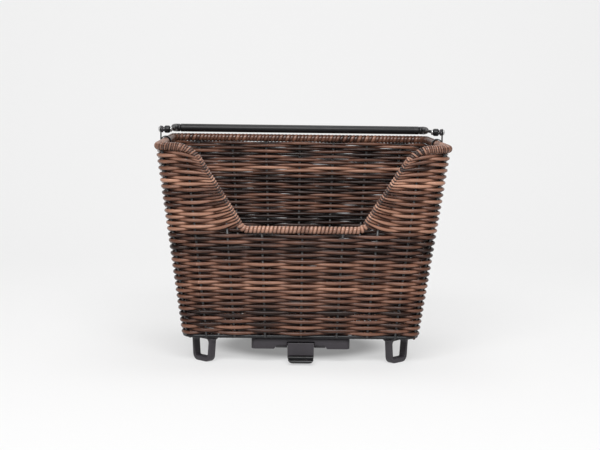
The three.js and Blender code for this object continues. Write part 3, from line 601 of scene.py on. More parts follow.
def braidLoops(ends, side):
    loops = []
    turns = np.radians(np.linspace(0, edgeWrap["loopTurn"], edgeWrap["loopSteps"]))
    tailSteps, (inward, upwards) = edgeWrap["tailSteps"], edgeWrap["tailWay"]
    for end, strand, length in ends:
        middle, upward, front, opening = edgeFrame(side, end)
        around = np.cos(turns)[:, None] * front + np.sin(turns)[:, None] * opening
        climb = (turns / (2 * math.pi) * edgeWrap["loopClimb"])[:, None] * upward
        path = middle + edgeWrap["middle"] * around + climb
        tail = path[-1] - tailSteps[:, None] * (opening * inward + upward * upwards)
        loops.append({
            **strand,
            "path": np.vstack([path, tail]),
            "out": np.vstack([around, np.repeat(-front[None], len(tail), 0)]),
            "thick": edgeWrap["thick"],
            "wide": edgeWrap["wide"],
            "tone": strand["tone"] + edgeWrap["lift"],
            "start": strand["start"] + (length if side < 0 else -edgeWrap["loopRun"]),
        })
    return loops


# wraps: strands wound side by side round a wire, with a tone for each strand

rimX, rimY = basket["rimHalf"]
rimZ, lipZ = basket["rimHeight"], cutout["lipHeight"]
lipY = wallHalf(lipZ)[1]
wraps = {
    "rim_wrap_back": {
        "piece": "rimWrapBack", "hand": -1, "tones": (0.53, 0.35),
        "middle": 4.7, "thick": 1.3, "pitch": 5.5, "share": 0.52,
    },
    "rim_wrap_front_left": {
        "piece": "rimWrapFrontLeft", "hand": -1, "tones": (0.70, 0.46),
        "middle": 4.4, "thick": 1.15, "pitch": 2.75, "share": 0.44,
    },
    "rim_wrap_front_right": {
        "piece": "rimWrapFrontRight", "hand": 1, "tones": (0.74, 0.50),
        "middle": 4.4, "thick": 1.15, "pitch": 2.75, "share": 0.44,
    },
    "cutout_lip_wrap": {
        "piece": "cutoutLipWrap", "hand": -1, "tones": (0.66,),
        "middle": 3.9, "thick": 1.2, "pitch": 5.35, "share": 0.46,
    },
}
edgeTurns = {"tones": (0.68, 0.44), "middle": 3.7, "thick": 1.3, "pitch": 3.6, "share": 0.38}
wrapStepsPerTurn = 16
wrapJoint = 0.3 * mm


def edgePoint(side, fromTop):
    top, low = edgeFrame(side, rimZ)[0], edgeFrame(side, lipZ)[0]
    return top + unit(low - top) * fromTop


def wrapRoutes():
    corner, bend, setback = basket["corner"], cutout["bend"], cutout["setback"]
    edgeLength = np.linalg.norm(edgePoint(1, 0) - edgeFrame(1, lipZ)[0])
    back = [(-rimX, wrapJoint, rimZ), (-rimX, rimY, rimZ), (rimX, rimY, rimZ), (rimX, wrapJoint, rimZ)]
    lip = [edgePoint(-1, edgeLength - setback), (-cutout["lipHalf"], -lipY, lipZ),
           (cutout["lipHalf"], -lipY, lipZ), edgePoint(1, edgeLength - setback)]
    routes = {"rim_wrap_back": bent(back, [corner, corner]), "cutout_lip_wrap": bent(lip, [bend, bend])}
    for name, side in leftRight.items():
        front = [(side * rimX, -wrapJoint, rimZ), (side * rimX, -rimY, rimZ),
                 (side * cutout["topHalf"], -rimY, rimZ), edgePoint(side, cutout["topSetback"])]
        route = bent(front, [corner, cutout["topBend"]], bendStep["wideBend"])
        split = np.count_nonzero(np.abs(route[:, 0]) >= cutout["wrapEnd"])
        routes["rim_wrap_front_" + name.lower()] = route[:split]
        # the braid starts a little way under the wrap
        routes["cutout_braid_" + name.lower()] = route[split - cutout["tuckSteps"]:]
    return routes


def wrapStrands(route, wrap):
    spacing, starts = wrap["pitch"] * mm, len(wrap["tones"])
    turnRun, wide = spacing * starts, spacing * wrap["share"]
    length = runLengths(route)[-1]
    run = np.linspace(wide, length - wide, int((length - 2 * wide) / turnRun * wrapStepsPerTurn) + 1)
    middle = alongRoute(route, run)
    ahead = unit(np.gradient(middle, axis=0))
    up = unit(np.array([0, 0, 1]) - ahead * ahead[:, 2:3])
    side = np.cross(ahead, up)
    strands = []
    for k, tone in enumerate(wrap["tones"]):
        angle = wrap["hand"] * 2 * math.pi * (run / turnRun + k / starts)
        out = np.cos(angle)[:, None] * up + np.sin(angle)[:, None] * side
        strands.append({
            "path": middle + wrap["middle"] * mm * out,
            "out": out,
            "thick": wrap["thick"] * mm,
            "wide": wide,
            "tone": tone,
            **strandDraw(),
        })
    return strands


def stakeLines():
    lines = []
    bottom = basket["baseHeight"]

    def stake(shareX, shareY, top):
        lowX, lowY = wallHalf(bottom)
        highX, highY = wallHalf(top)
        lines.append(((shareX * lowX, shareY * lowY, bottom), (shareX * highX, shareY * highY, top)))

    for share in basket["backShares"]:
        stake(share, 1, rimZ)
    for share in basket["frontShares"]:
        pastLip = abs(share) * wallHalf(lipZ)[0] - cutout["lipHalf"]
        pastTop = abs(share) * rimX - cutout["topHalf"]
        rise = np.clip(pastLip / (pastLip - pastTop), 0, 1) if pastLip > 0 > pastTop else float(pastLip > 0)
        stake(share, -1, lipZ + (rimZ - lipZ) * rise)
    cut = basket["corner"] * (1 - math.sqrt(0.5))
    lowX, lowY = basket["baseHalf"]
    for side in (-1, 1):
        for share in basket["sideShares"]:
            stake(side, share, rimZ)
        for end in (-1, 1):
            lines.append(((side * (lowX - cut), end * (lowY - cut), bottom),
                          (side * (rimX - cut), end * (rimY - cut), rimZ)))
    return [np.array(line) for line in lines]


def buildWeave():
    whole, parted, ends = weaveRows()
    for name, rows in (("Lower", whole), ("Upper", parted)):
        piece = strandPiece("wovenWalls" + name, rows, weave["sides"])
        placePiece(piece, "basket", "brown_strand", "wicker_walls")
    routes = wrapRoutes()
    for name, side in leftRight.items():
        node = "cutout_braid_" + name.lower()
        turns = wrapStrands(routes[node], {**edgeTurns, "hand": side})
        piece = strandPiece("cutoutBraid" + name, braidLoops(ends, side) + turns, weave["sides"])
        placePiece(piece, "basket", "wrapped_strand", node)
    for node, wrap in wraps.items():
        piece = strandPiece(wrap["piece"], wrapStrands(routes[node], wrap), weave["sides"])
        placePiece(piece, "basket", "wrapped_strand", node)
    print("weave made,", len(whole) + len(parted), "rows")


buildWeave()


# welded wires; no wire runs along slantWay

slantWay = (0.31, 0.17, 0.93)


def wireRun(route, radius, out=slantWay, closed=False):
    route = np.asarray(route, float)
    size = {"thick": radius, "wide": radius}
    return {"path": route, "out": np.full(route.shape, out), "closed": closed, **size}


def mirrored(half):
    return np.vstack([half, half[::-1][1:-1] * np.array([-1, 1, 1])])


frameWires = {
    "sides": 10,
    "rimWire": 3 * mm,
    "stakeSeat": 2.4 * mm,
    "stakeDrop": 1 * mm,
    "stakeRise": (0.06, 0.12),
    "stakeOut": (0.33, 0.94, 0),
    "atWall": 0.95,
    "baseSides": 12,
    "baseRing": 2.5 * mm,
    "floorWire": 1.5 * mm,
    "floorLift": 1 * mm,
}


# a stake leans out to the base ring below, and follows the wall above
def stakeRoute(low, top):
    reach = low[:2] / np.array(basket["baseHalf"])
    seat = np.append(np.sign(reach) * (np.abs(reach) > frameWires["atWall"]), 0.0)
    seat *= frameWires["stakeSeat"] / np.linalg.norm(seat)
    foot = low + seat - np.array([0, 0, frameWires["stakeDrop"]])
    return [foot, *(low + (top - low) * rise for rise in frameWires["stakeRise"]), top]


def buildFrames():
    corner, bend = basket["corner"], cutout["bend"]
    rim = bent([(0, -lipY, lipZ), (cutout["lipHalf"], -lipY, lipZ), (cutout["topHalf"], -rimY, rimZ),
                (rimX, -rimY, rimZ), (rimX, rimY, rimZ), (0, rimY, rimZ)],
               [bend, cutout["topBend"], corner, corner])
    wires = [wireRun(mirrored(rim), frameWires["rimWire"], closed=True)]
    for low, top in stakeLines():
        wires.append(wireRun(stakeRoute(low, top), basket["stakeRadius"], frameWires["stakeOut"]))
    piece = strandPiece("stakeFrame", wires, frameWires["sides"])
    placePiece(piece, "basket", "black_wire", "stake_frame", finish=blackFinish["stakeLacquerPaintedSheen"])
    baseX, baseY = basket["baseHalf"]
    baseZ = basket["baseHeight"]
    ring = bent([(0, -baseY, baseZ), (baseX, -baseY, baseZ), (baseX, baseY, baseZ), (0, baseY, baseZ)],
                [corner] * 2)
    wires = [wireRun(mirrored(ring), frameWires["baseRing"], closed=True)]
    floorZ = baseZ + frameWires["floorLift"]
    for y in np.array(basket["sideShares"]) * baseY:
        wires.append(wireRun([(-baseX, y, floorZ), (baseX, y, floorZ)], frameWires["floorWire"]))
    for x in np.array(basket["backShares"])[[1, -2]] * baseX:
        wires.append(wireRun([(x, -baseY, floorZ), (x, baseY, floorZ)], frameWires["floorWire"]))
    piece = strandPiece("baseFrame", wires, frameWires["baseSides"])
    placePiece(piece, "basket", "black_wire", "base_frame")
    print("wire frames made")


buildFrames()

floorWeave = {
    "halfX": 155.4 * mm,
    "halfY": 113.0 * mm,
    "pitch": 4.1 * mm,
    "swing": 2.95 * mm,
    "thick": 1.45 * mm,
    "wide": 2.02 * mm,
    "stepsPerWire": 7,
    "tone": 0.45,
    "toneScatter": 0.2,
}


def buildFloor():
    height = basket["baseHeight"] + frameWires["floorLift"]
    wires = [share * basket["baseHalf"][1] for share in basket["sideShares"]]
    knots = np.array([-floorWeave["halfY"], *wires, floorWeave["halfY"]])
    crossX = basket["backShares"][-2] * basket["baseHalf"][0]
    rows = int(2 * floorWeave["halfX"] / floorWeave["pitch"]) + 1
    steps = floorWeave["stepsPerWire"]
    strands = []
    for row, x in enumerate(np.linspace(-floorWeave["halfX"], floorWeave["halfX"], rows)):
        if abs(abs(x) - crossX) < floorWeave["pitch"] / 2:
            continue
        y, swing = overUnder(knots, steps, row + 1)
        y, swing = np.append(y, knots[-1]), np.append(swing, -swing[-steps])
        strands.append({
            "path": np.stack([np.full(len(y), x), y, height + swing * floorWeave["swing"]], -1),
            "out": np.full((len(y), 3), (0, 0, 1.0)),
            "thick": floorWeave["thick"],
            "wide": floorWeave["wide"],
            "lies": swing,
            "tone": floorWeave["tone"] + dice.uniform(-1, 1) * floorWeave["toneScatter"],
            **strandDraw(),
        })
    piece = strandPiece("wovenFloor", strands, weave["sides"])
    placePiece(piece, "basket", "brown_strand", "wicker_floor")
    print("floor made,", len(strands), "strands")


buildFloor()


# modelling by hand: one piece is picked at a time, sizes are given in millimetres

planeTurn = {"x": (math.pi / 2, 0, math.pi / 2), "y": (math.pi / 2, 0, 0), "z": (0, 0, 0)}
smoothBelow = math.radians(40)
flatWithin = math.radians(1)
mergeWithin = 1e-6


def pickOnly(piece):
    bpy.ops.object.select_all(action="DESELECT")
    piece.select_set(True)
    bpy.context.view_layer.objects.active = piece


def settle(piece):
    pickOnly(piece)
    bpy.ops.object.transform_apply(location=True, rotation=True, scale=True)
    return piece


def smooth(piece):
    pickOnly(piece)
    bpy.ops.object.shade_smooth_by_angle(angle=smoothBelow)
    return piece


def newPiece(name, data):
    piece = addObject(name, data)
    pickOnly(piece)
    return piece


def editAll():
    bpy.ops.object.mode_set(mode="EDIT")
    bpy.ops.mesh.select_all(action="SELECT")


def closeUp():
    bpy.ops.mesh.select_all(action="SELECT")
    bpy.ops.mesh.remove_doubles(threshold=mergeWithin)
    bpy.ops.mesh.normals_make_consistent(inside=False)
    bpy.ops.object.mode_set(mode="OBJECT")


# a closed outline with its corners rounded
def filleted(points, bends):
    outline = []
    for i, bend in enumerate(bends):
        near = [np.array([*points[(i + k) % len(points)], 0.0]) for k in (-1, 0, 1)]
        outline.extend(bent(near, [bend], bendStep["outline"])[1:-1, :2] if bend else [near[1][:2]])
    return outline


def circle(middle, radius, steps=24):
    angle = 2 * math.pi * np.arange(steps) / steps
    return [(middle[0] + radius * math.cos(a), middle[1] + radius * math.sin(a)) for a in angle]


def rectangle(lowX, lowY, highX, highY):
    return [(lowX, lowY), (highX, lowY), (highX, highY), (lowX, highY)]


# outlines drawn on a plane and given a thickness across it
def flatPlate(name, outlines, across, middle, thickness):
    curve = bpy.data.curves.new(name, "CURVE")
    curve.dimensions = "2D"
    curve.fill_mode = "BOTH"
    curve.extrude = thickness * mm / 2
    for outline in outlines:
        spline = curve.splines.new("POLY")
        spline.points.add(len(outline) - 1)
        for point, (u, v) in zip(spline.points, outline):
            point.co = (u * mm, v * mm, 0, 1)
        spline.use_cyclic_u = True
    newPiece(name, curve)
    bpy.ops.object.convert(target="MESH")
    plate = bpy.context.object
    editAll()
    closeUp()
    editAll()
    bpy.ops.mesh.dissolve_limited(angle_limit=flatWithin)
    bpy.ops.object.mode_set(mode="OBJECT")
    plate.rotation_euler = planeTurn[across]
    plate.location[{"x": 0, "y": 1, "z": 2}[across]] = middle * mm
    return settle(plate)


# a profile of (along, radius) turned round an axis; an open one starts and ends on the axis
def spun(name, profile, axis, middle, closed=False, steps=32):
    along = Vector([float(letter == axis) for letter in "xyz"])
    side = Vector((0, 0, 1)) if axis != "z" else Vector((1, 0, 0))
    centre = Vector(middle) * mm
    places = [centre + along * (a * mm) + side * (r * mm) for a, r in profile]
    edges = [(i, (i + 1) % len(places)) for i in range(len(places) - (not closed))]
    mesh = bpy.data.meshes.new(name)
    mesh.from_pydata(places, edges, [])
    piece = newPiece(name, mesh)
    editAll()
    bpy.ops.mesh.spin(steps=steps, angle=2 * math.pi, center=centre, axis=along)
    closeUp()
    return smooth(piece)


def rounded(profile, bends):
    return bent([(a, r, 0) for a, r in profile], bends, bendStep["profile"])[:, :2]


# other is added to the piece, or cut out of it
def merge(piece, other, way="UNION"):
    step = piece.modifiers.new("merge", "BOOLEAN")
    step.operation, step.object, step.solver = way, other, "EXACT"
    pickOnly(piece)
    bpy.ops.object.modifier_apply(modifier=step.name)
    bpy.data.objects.remove(other)
    return piece


def cutOut(piece, other):
    merge(piece, other, "DIFFERENCE")


# closed shells that overlap, kept in one mesh
def joined(piece, *others):
    pickOnly(piece)
    for other in others:
        other.select_set(True)
    bpy.ops.object.join()


# what lies beyond a plane is cut away
def trim(piece, place, normal):
    pickOnly(piece)
    editAll()
    bpy.ops.mesh.bisect(plane_co=place, plane_no=normal, use_fill=True, clear_outer=True)
    bpy.ops.object.mode_set(mode="OBJECT")


# every sharp edge is bevelled
def soften(piece, width, segments=3):
    step = piece.modifiers.new("soften", "BEVEL")
    step.width, step.segments = width * mm, segments
    step.limit_method, step.angle_limit = "ANGLE", smoothBelow
    step.use_clamp_overlap = False
    pickOnly(piece)
    bpy.ops.object.modifier_apply(modifier=step.name)
    return smooth(piece)


def copied(piece, name, place, turn=0.0):
    twin = piece.copy()
    twin.data = piece.data.copy()
    twin.name = twin.data.name = name
    bpy.context.scene.collection.objects.link(twin)
    twin.location = Vector(place) * mm
    twin.rotation_euler.z = turn
    return settle(twin)


# bail handle
bail = {
    "pivot": (192, 0, 315),
    "corner": (192, 149, 312),
    "bend": 7,
    "rod": 2.25,
    "rodStart": 3.8,
    "rodSides": 14,
    "eye": [(-4.3, 2.5), (4.3, 2.5), (4.3, 5.3), (-4.3, 5.3)],
    "eyeBends": [0.5, 0.5, 2.5, 2.5],
    "grip": [(-183, 0), (-183, 6.1), (-176, 6.1), (-176, 5.9), (-175, 5.9), (-175, 6.1),
             (175, 6.1), (175, 5.9), (176, 5.9), (176, 6.1), (183, 6.1), (183, 0)],
    "gripBends": [1.2, *[0.1] * 8, 1.2],
    "gripSteps": 40,
    "knuckleFrom": 183.4,
    "knuckleTo": 128,
    "knuckleLift": 0.4,
    "knuckleSteps": 22,
    "knuckleSides": 18,
    "knuckleRadii": [(0, 5.7), (0.03, 6.0), (0.30, 6.0), (0.62, 5.3), (0.86, 4.2), (1, 3.1)],
}


def buildBail():
    pivot, corner = np.array(bail["pivot"], float), np.array(bail["corner"], float)
    start = pivot + (corner - pivot) * bail["rodStart"] / (corner - pivot)[1]
    flip = np.array([-1, 1, 1])
    route = bent([start * flip, corner * flip, corner, start], [bail["bend"]] * 2) * mm
    rod = strandPiece("bailRod", [wireRun(route, bail["rod"] * mm)], bail["rodSides"])
    eye = filleted(bail["eye"], bail["eyeBends"])
    for side in leftRight.values():
        joined(rod, spun("eye", eye, "x", (side * pivot[0], 0, pivot[2]), closed=True))
    placePiece(rod, "handle", "black_wire", "bail_rod")
    profile = rounded(bail["grip"], bail["gripBends"])
    grip = spun("gripSleeve", profile, "x", (0, *corner[1:]), steps=bail["gripSteps"])
    placePiece(grip, "handle", "grip_sleeve", "handle_grip")
    share, radius = zip(*bail["knuckleRadii"])
    elbow = [(bail["knuckleFrom"], *corner[1:]), corner,
             (corner[0], bail["knuckleTo"], corner[2] + bail["knuckleLift"])]
    for name, side in leftRight.items():
        route = bent(elbow, [bail["bend"]]) * np.array([side, 1, 1]) * mm
        run = np.linspace(0, runLengths(route)[-1], bail["knuckleSteps"])
        knuckle = wireRun(alongRoute(route, run), np.interp(run / run[-1], share, radius) * mm)
        piece = strandPiece("gripKnuckle" + name, [knuckle], bail["knuckleSides"])
        node = "grip_knuckle_" + name.lower()
        placePiece(piece, "handle", "black_plastic", node, finish=blackFinish["knucklePlastic"])
    print("bail made")


# brackets that carry it, modelled on the right and turned round for the left
bracket = {
    "rim": (194, 0, 298),
    "strap": [(-4, 6.3), (4, 6.3), (4, 7.9), (-4, 7.9)],
    "strapBends": [0.4] * 4,
    "postWidth": 6,
    "postLap": 1,
    "postEdge": 0.35,
    "postX": 201.1,
    "postThickness": 1.6,
    "pivotHeight": 315,
    "eye": 5.2,
    "eyeSteps": 22,
    "bore": 2.5,
    "steps": 24,
    "pin": [(185.2, 0), (185.2, 3.9), (187.4, 3.9), (187.4, 2.2), (202.2, 2.2),
            (202.2, 4), (204.4, 4), (204.4, 0)],
    "pinBends": [1.6, 0.3, 0.2, 0.2, 0.3, 1.7],
    "bush": [(196.6, 2.5), (200, 2.5), (200, 4.7), (197.9, 4.7), (197.9, 3.1), (196.6, 3.1)],
    "bushBends": [0, 0, 0.7, 0.7, 0.3, 0.3],
}


def buildBrackets():
    x, y, rim = bracket["rim"]
    top, half, eye = bracket["pivotHeight"], bracket["postWidth"] / 2, bracket["eye"]
    strap = spun("strap", filleted(bracket["strap"], bracket["strapBends"]), "y", (x, y, rim), closed=True)
    shoulder = math.asin(half / eye)
    arc = np.linspace(-math.pi / 2 + shoulder, 1.5 * math.pi - shoulder, bracket["eyeSteps"])
    head = [(eye * math.cos(a), top + eye * math.sin(a)) for a in arc]
    low = rim - bracket["postLap"]
    outlines = [[(-half, low), (half, low), *head], circle((0, top), bracket["bore"])]
    post = flatPlate("post", outlines, "x", bracket["postX"], bracket["postThickness"])
    soften(post, bracket["postEdge"], 2)
    smooth(merge(post, strap))
    middle, steps = (0, 0, top), bracket["steps"]
    pin = spun("pin", rounded(bracket["pin"], bracket["pinBends"]), "x", middle, steps=steps)
    bush = spun("bush", filleted(bracket["bush"], bracket["bushBends"]), "x", middle, True, steps)
    kinds = [(post, "handleBracket", "handle_bracket_", "black_wire"),
             (pin, "pivotPin", "pivot_pin_", "bright_steel"),
             (bush, "pivotBush", "pivot_washer_", "black_plastic")]
    for master, piece, node, slot in kinds:
        for name, side in leftRight.items():
            twin = copied(master, piece + name, (0, 0, 0), 0 if side > 0 else math.pi)
            placePiece(twin, "basket", slot, node + name.lower())
        bpy.data.objects.remove(master)
    print("brackets made")


buildBail()
buildBrackets()

# screws and washers
fastener = {
    "headHeight": 2.6,
    "headBend": 0.7,
    "bends": (0.2, 0.3, 0.5),
    "recess": (0.9, 4.4, 1.5),
    "steps": 28,
    "adapter": {"head": 4.5, "shank": 2.5, "length": 20.4, "seat": 46.6},
    "foot": {"head": 4.0, "shank": 2.0, "length": 14.3, "seat": 45.3},
    "washer": [(0, 2.3), (1.2, 2.3), (1.2, 8), (0, 8)],
    "washerBends": [0.1, 0.1, 0.4, 0.4],
    "washerSeat": 43.8,
}


# a pan head with a crossed recess; headBend is a share of its height
def panScrew(name, size):
    height, head, shank, low = fastener["headHeight"], size["head"], size["shank"], -size["length"]
    profile = [(height, 0), (height, head), (0, head), (0, shank), (low, shank), (low, 0)]
    bends = [height * fastener["headBend"], *fastener["bends"]]
    screw = spun(name, rounded(profile, bends), "z", (0, 0, 0), steps=fastener["steps"])
    across, reach, depth = fastener["recess"]
    for halfX, halfY in ((across / 2, reach / 2), (reach / 2, across / 2)):
        slot = rectangle(-halfX, -halfY, halfX, halfY)
        cutOut(screw, flatPlate("slot", [slot], "z", height, 2 * depth))
    return smooth(screw)


# feet: a loop set across each corner, with a tab that is screwed to the floor
foot = {
    "place": (133, 96),
    "outline": [(-22, 33.6), (-19, 30.6), (-16.5, 0), (16.5, 0), (19, 30.6), (22, 33.6)],
    "outlineBends": [0, 4, 9.5, 9.5, 4, 0],
    "hole": [(-12.2, 7), (-14.6, 32), (14.6, 32), (12.2, 7)],
    "holeBends": [2, 5, 5, 2],
    "thickness": 11,
    "tab": [(-22, 5.5), (22, 5.5), (22, -4), (9, -20), (-9, -20), (-22, -4)],
    "tabBends": [1.5, 1.5, 4, 8, 8, 4],
    "tabThickness": 2.2,
    "tabHole": 2.3,
    "tabEdge": 0.5,
    "top": 34.2,
    "screw": 12.7,
    "edge": 1.2,
}


def buildFeet():
    loops = [filleted(foot["outline"], foot["outlineBends"]), filleted(foot["hole"], foot["holeBends"])]
    loop = flatPlate("loop", loops, "y", 0, foot["thickness"])
    soften(loop, foot["edge"])
    thickness = foot["tabThickness"]
    hole = circle((0, -foot["screw"]), foot["tabHole"])
    tab = flatPlate("tab", [filleted(foot["tab"], foot["tabBends"]), hole], "z",
                    foot["top"] - thickness / 2, thickness)
    soften(tab, foot["tabEdge"], 2)
    joined(loop, tab)
    screw = panScrew("screw", fastener["foot"])
    washer = filleted(fastener["washer"], fastener["washerBends"])
    ring = spun("ring", washer, "z", (0, 0, 0), closed=True)
    x, y = foot["place"]
    inset = foot["screw"] * math.sqrt(0.5)
    for endName, end in frontBack.items():
        for sideName, side in leftRight.items():
            label, node = endName + sideName, endName.lower() + "_" + sideName.lower()
            turn = math.atan2(end, side) - math.pi / 2
            seat = (side * (x - inset), end * (y - inset))
            head, under = (*seat, fastener["foot"]["seat"]), (*seat, fastener["washerSeat"])
            kinds = [(loop, "loopFoot", "foot_", "black_plastic", (side * x, end * y, 0), turn),
                     (screw, "footScrew", "foot_screw_", "bright_steel", head, turn),
                     (ring, "footWasher", "foot_washer_", "bright_steel", under, 0)]
            for master, piece, kind, slot, spot, angle in kinds:
                placePiece(copied(master, piece + label, spot, angle), "basket", slot, kind + node)
    for master in (loop, screw, ring):
        bpy.data.objects.remove(master)
    print("feet made")


# rack adapter, with the clamp bars and screws that hold it through the floor
adapter = {
    "half": 67.5,
    "front": -112,
    "back": 78,
    "bottom": 20,
    "top": 34.2,
    "corner": 6,
    "groove": [(-37.3, 19), (-32.7, 25), (32.7, 25), (37.3, 19)],
    "grooveOverrun": 10,
    "pocketHalf": 18.6,
    "pocketOverrun": 4,
    "pocketBack": -98,
    "pocketTop": 29.8,
    "lug": [(-109.2, 26), (-109.2, 20.6), (-101.3, 20.6), (-97.9, 26)],
    "lugBends": [0, 4.1, 4.1, 0],
    "lugThickness": 15.5,
    "claw": [(78, 26), (78, 14), (66, 14), (66, 17.6), (72, 19), (72, 26)],
    "clawBends": [0, 2.4, 1.2, 1.0, 1.5, 0],
    "clawWidth": 30,
    "hollows": [(-104, -68), (-48, -7), (-3, 40), (60, 72)],
    "hollowX": (42, 62),
    "hollowDepth": 7,
    "hollowBends": [3] * 4,
    "edge": 0.8,
    "bar": (-66, -8, 66, 8),
    "barBends": [4] * 4,
    "barHole": 2.9,
    "barEdge": 0.4,
    "barThickness": 2.5,
    "barSeat": 43.8,
    "barPlaces": {"Front": -58, "Back": 50},
    "screwX": 52,
    "screwTurn": 1.5,
}


def buildAdapter():
    half, front, back = adapter["half"], adapter["front"], adapter["back"]
    bottom, top = adapter["bottom"], adapter["top"]
    plan = filleted(rectangle(-half, front, half, back), [adapter["corner"]] * 4)
    housing = flatPlate("adapterHousing", [plan], "z", (bottom + top) / 2, top - bottom)
    length = back - front + 2 * adapter["grooveOverrun"]
    cutOut(housing, flatPlate("groove", [adapter["groove"]], "y", (front + back) / 2, length))
    pocketHalf, past = adapter["pocketHalf"], adapter["pocketOverrun"]
    pocket = rectangle(-pocketHalf, front - past, pocketHalf, adapter["pocketBack"])
    reach = adapter["pocketTop"] - bottom + past
    cutOut(housing, flatPlate("pocket", [pocket], "z", adapter["pocketTop"] - reach / 2, reach))
    lug = filleted(adapter["lug"], adapter["lugBends"])
    for side in leftRight.values():
        lowX, highX = sorted(side * x for x in adapter["hollowX"])
        for lowY, highY in adapter["hollows"]:
            hollow = filleted(rectangle(lowX, lowY, highX, highY), adapter["hollowBends"])
            cutOut(housing, flatPlate("hollow", [hollow], "z", bottom, 2 * adapter["hollowDepth"]))
        middle = side * (pocketHalf + adapter["lugThickness"] / 2)
        merge(housing, flatPlate("lug", [lug], "x", middle, adapter["lugThickness"]))
    claw = filleted(adapter["claw"], adapter["clawBends"])
    merge(housing, flatPlate("claw", [claw], "x", 0, adapter["clawWidth"]))
    soften(housing, adapter["edge"], 2)
    placePiece(housing, "basket", "black_plastic", "adapter_housing")
    bar = filleted(rectangle(*adapter["bar"]), adapter["barBends"])
    holes = [circle((side * adapter["screwX"], 0), adapter["barHole"]) for side in leftRight.values()]
    thickness = adapter["barThickness"]
    strip = flatPlate("strip", [bar, *holes], "z", thickness / 2, thickness)
    soften(strip, adapter["barEdge"], 2)
    screw = panScrew("screw", fastener["adapter"])
    for endName, y in adapter["barPlaces"].items():
        placePiece(copied(strip, "clampBar" + endName, (0, y, adapter["barSeat"])),
                   "basket", "black_wire", "clamp_bar_" + endName.lower())
        for sideName, side in leftRight.items():
            place = (side * adapter["screwX"], y, fastener["adapter"]["seat"])
            node = "adapter_screw_" + endName.lower() + "_" + sideName.lower()
            turn = dice.uniform(0, adapter["screwTurn"])
            twin = copied(screw, "adapterScrew" + endName + sideName, place, turn)
            placePiece(twin, "basket", "bright_steel", node)
    for master in (strip, screw):
        bpy.data.objects.remove(master)
    print("adapter made")


# release lever, drawn about its pin, with two barrels on the pin and the spring between them
lever = {
    "pin": (-105.5, 24.5),
    "profile": [(-11, 4.7), (-11, -12.2), (-9, -14.7), (-12, -17.1), (-23, -17.1), (-23, -21.5),
                (-5.7, -21.5), (-5.7, -10.1), (4.8, -6.8), (4.8, -5.1), (-5.7, -5.1), (-5.7, 2.6),
                (-8.7, 2.6), (-8.7, 4.7)],
    "bends": [0.9, 1.5, 1.6, 1.2, 2.1, 2.1, 6, 0.8, 0.5, 0.5, 0.6, 0.6, 0.3, 0.9],
    "web": [(-6.4, -3.6), (0, -3.6), (0, 3.4), (-6.4, 2.2)],
    "webInset": 0.1,
    "barrel": [(6, 2.2), (17.9, 2.2), (17.9, 3.6), (6, 3.6)],
    "barrelBends": [0.3] * 4,
    "rib": [(-23.4, -16.8), (-23.4, -21.8), (-18, -21.8), (-18, -16.8)],
    "ribBends": [2.4, 2.4, 0, 0],
    "ribs": 9,
    "ribSpan": 20,
    "ribThickness": 1.1,
    "half": 18,
    "corner": 7.5,
    "cornerCuts": 5,
    "edge": 0.6,
    "pinHalf": 21.5,
    "pinRadius": 2,
    "pinBends": [0.6, 0.6],
    "pinSteps": 24,
    "coilRadius": 3,
    "coilTurns": 4.25,
    "coilPitch": 1.5,
    "coilSteps": 20,
    "springWire": 0.45,
    "springLegs": (7, -4),
    "springOut": (1, 0.05, 0.03),
    "springSides": 8,
}


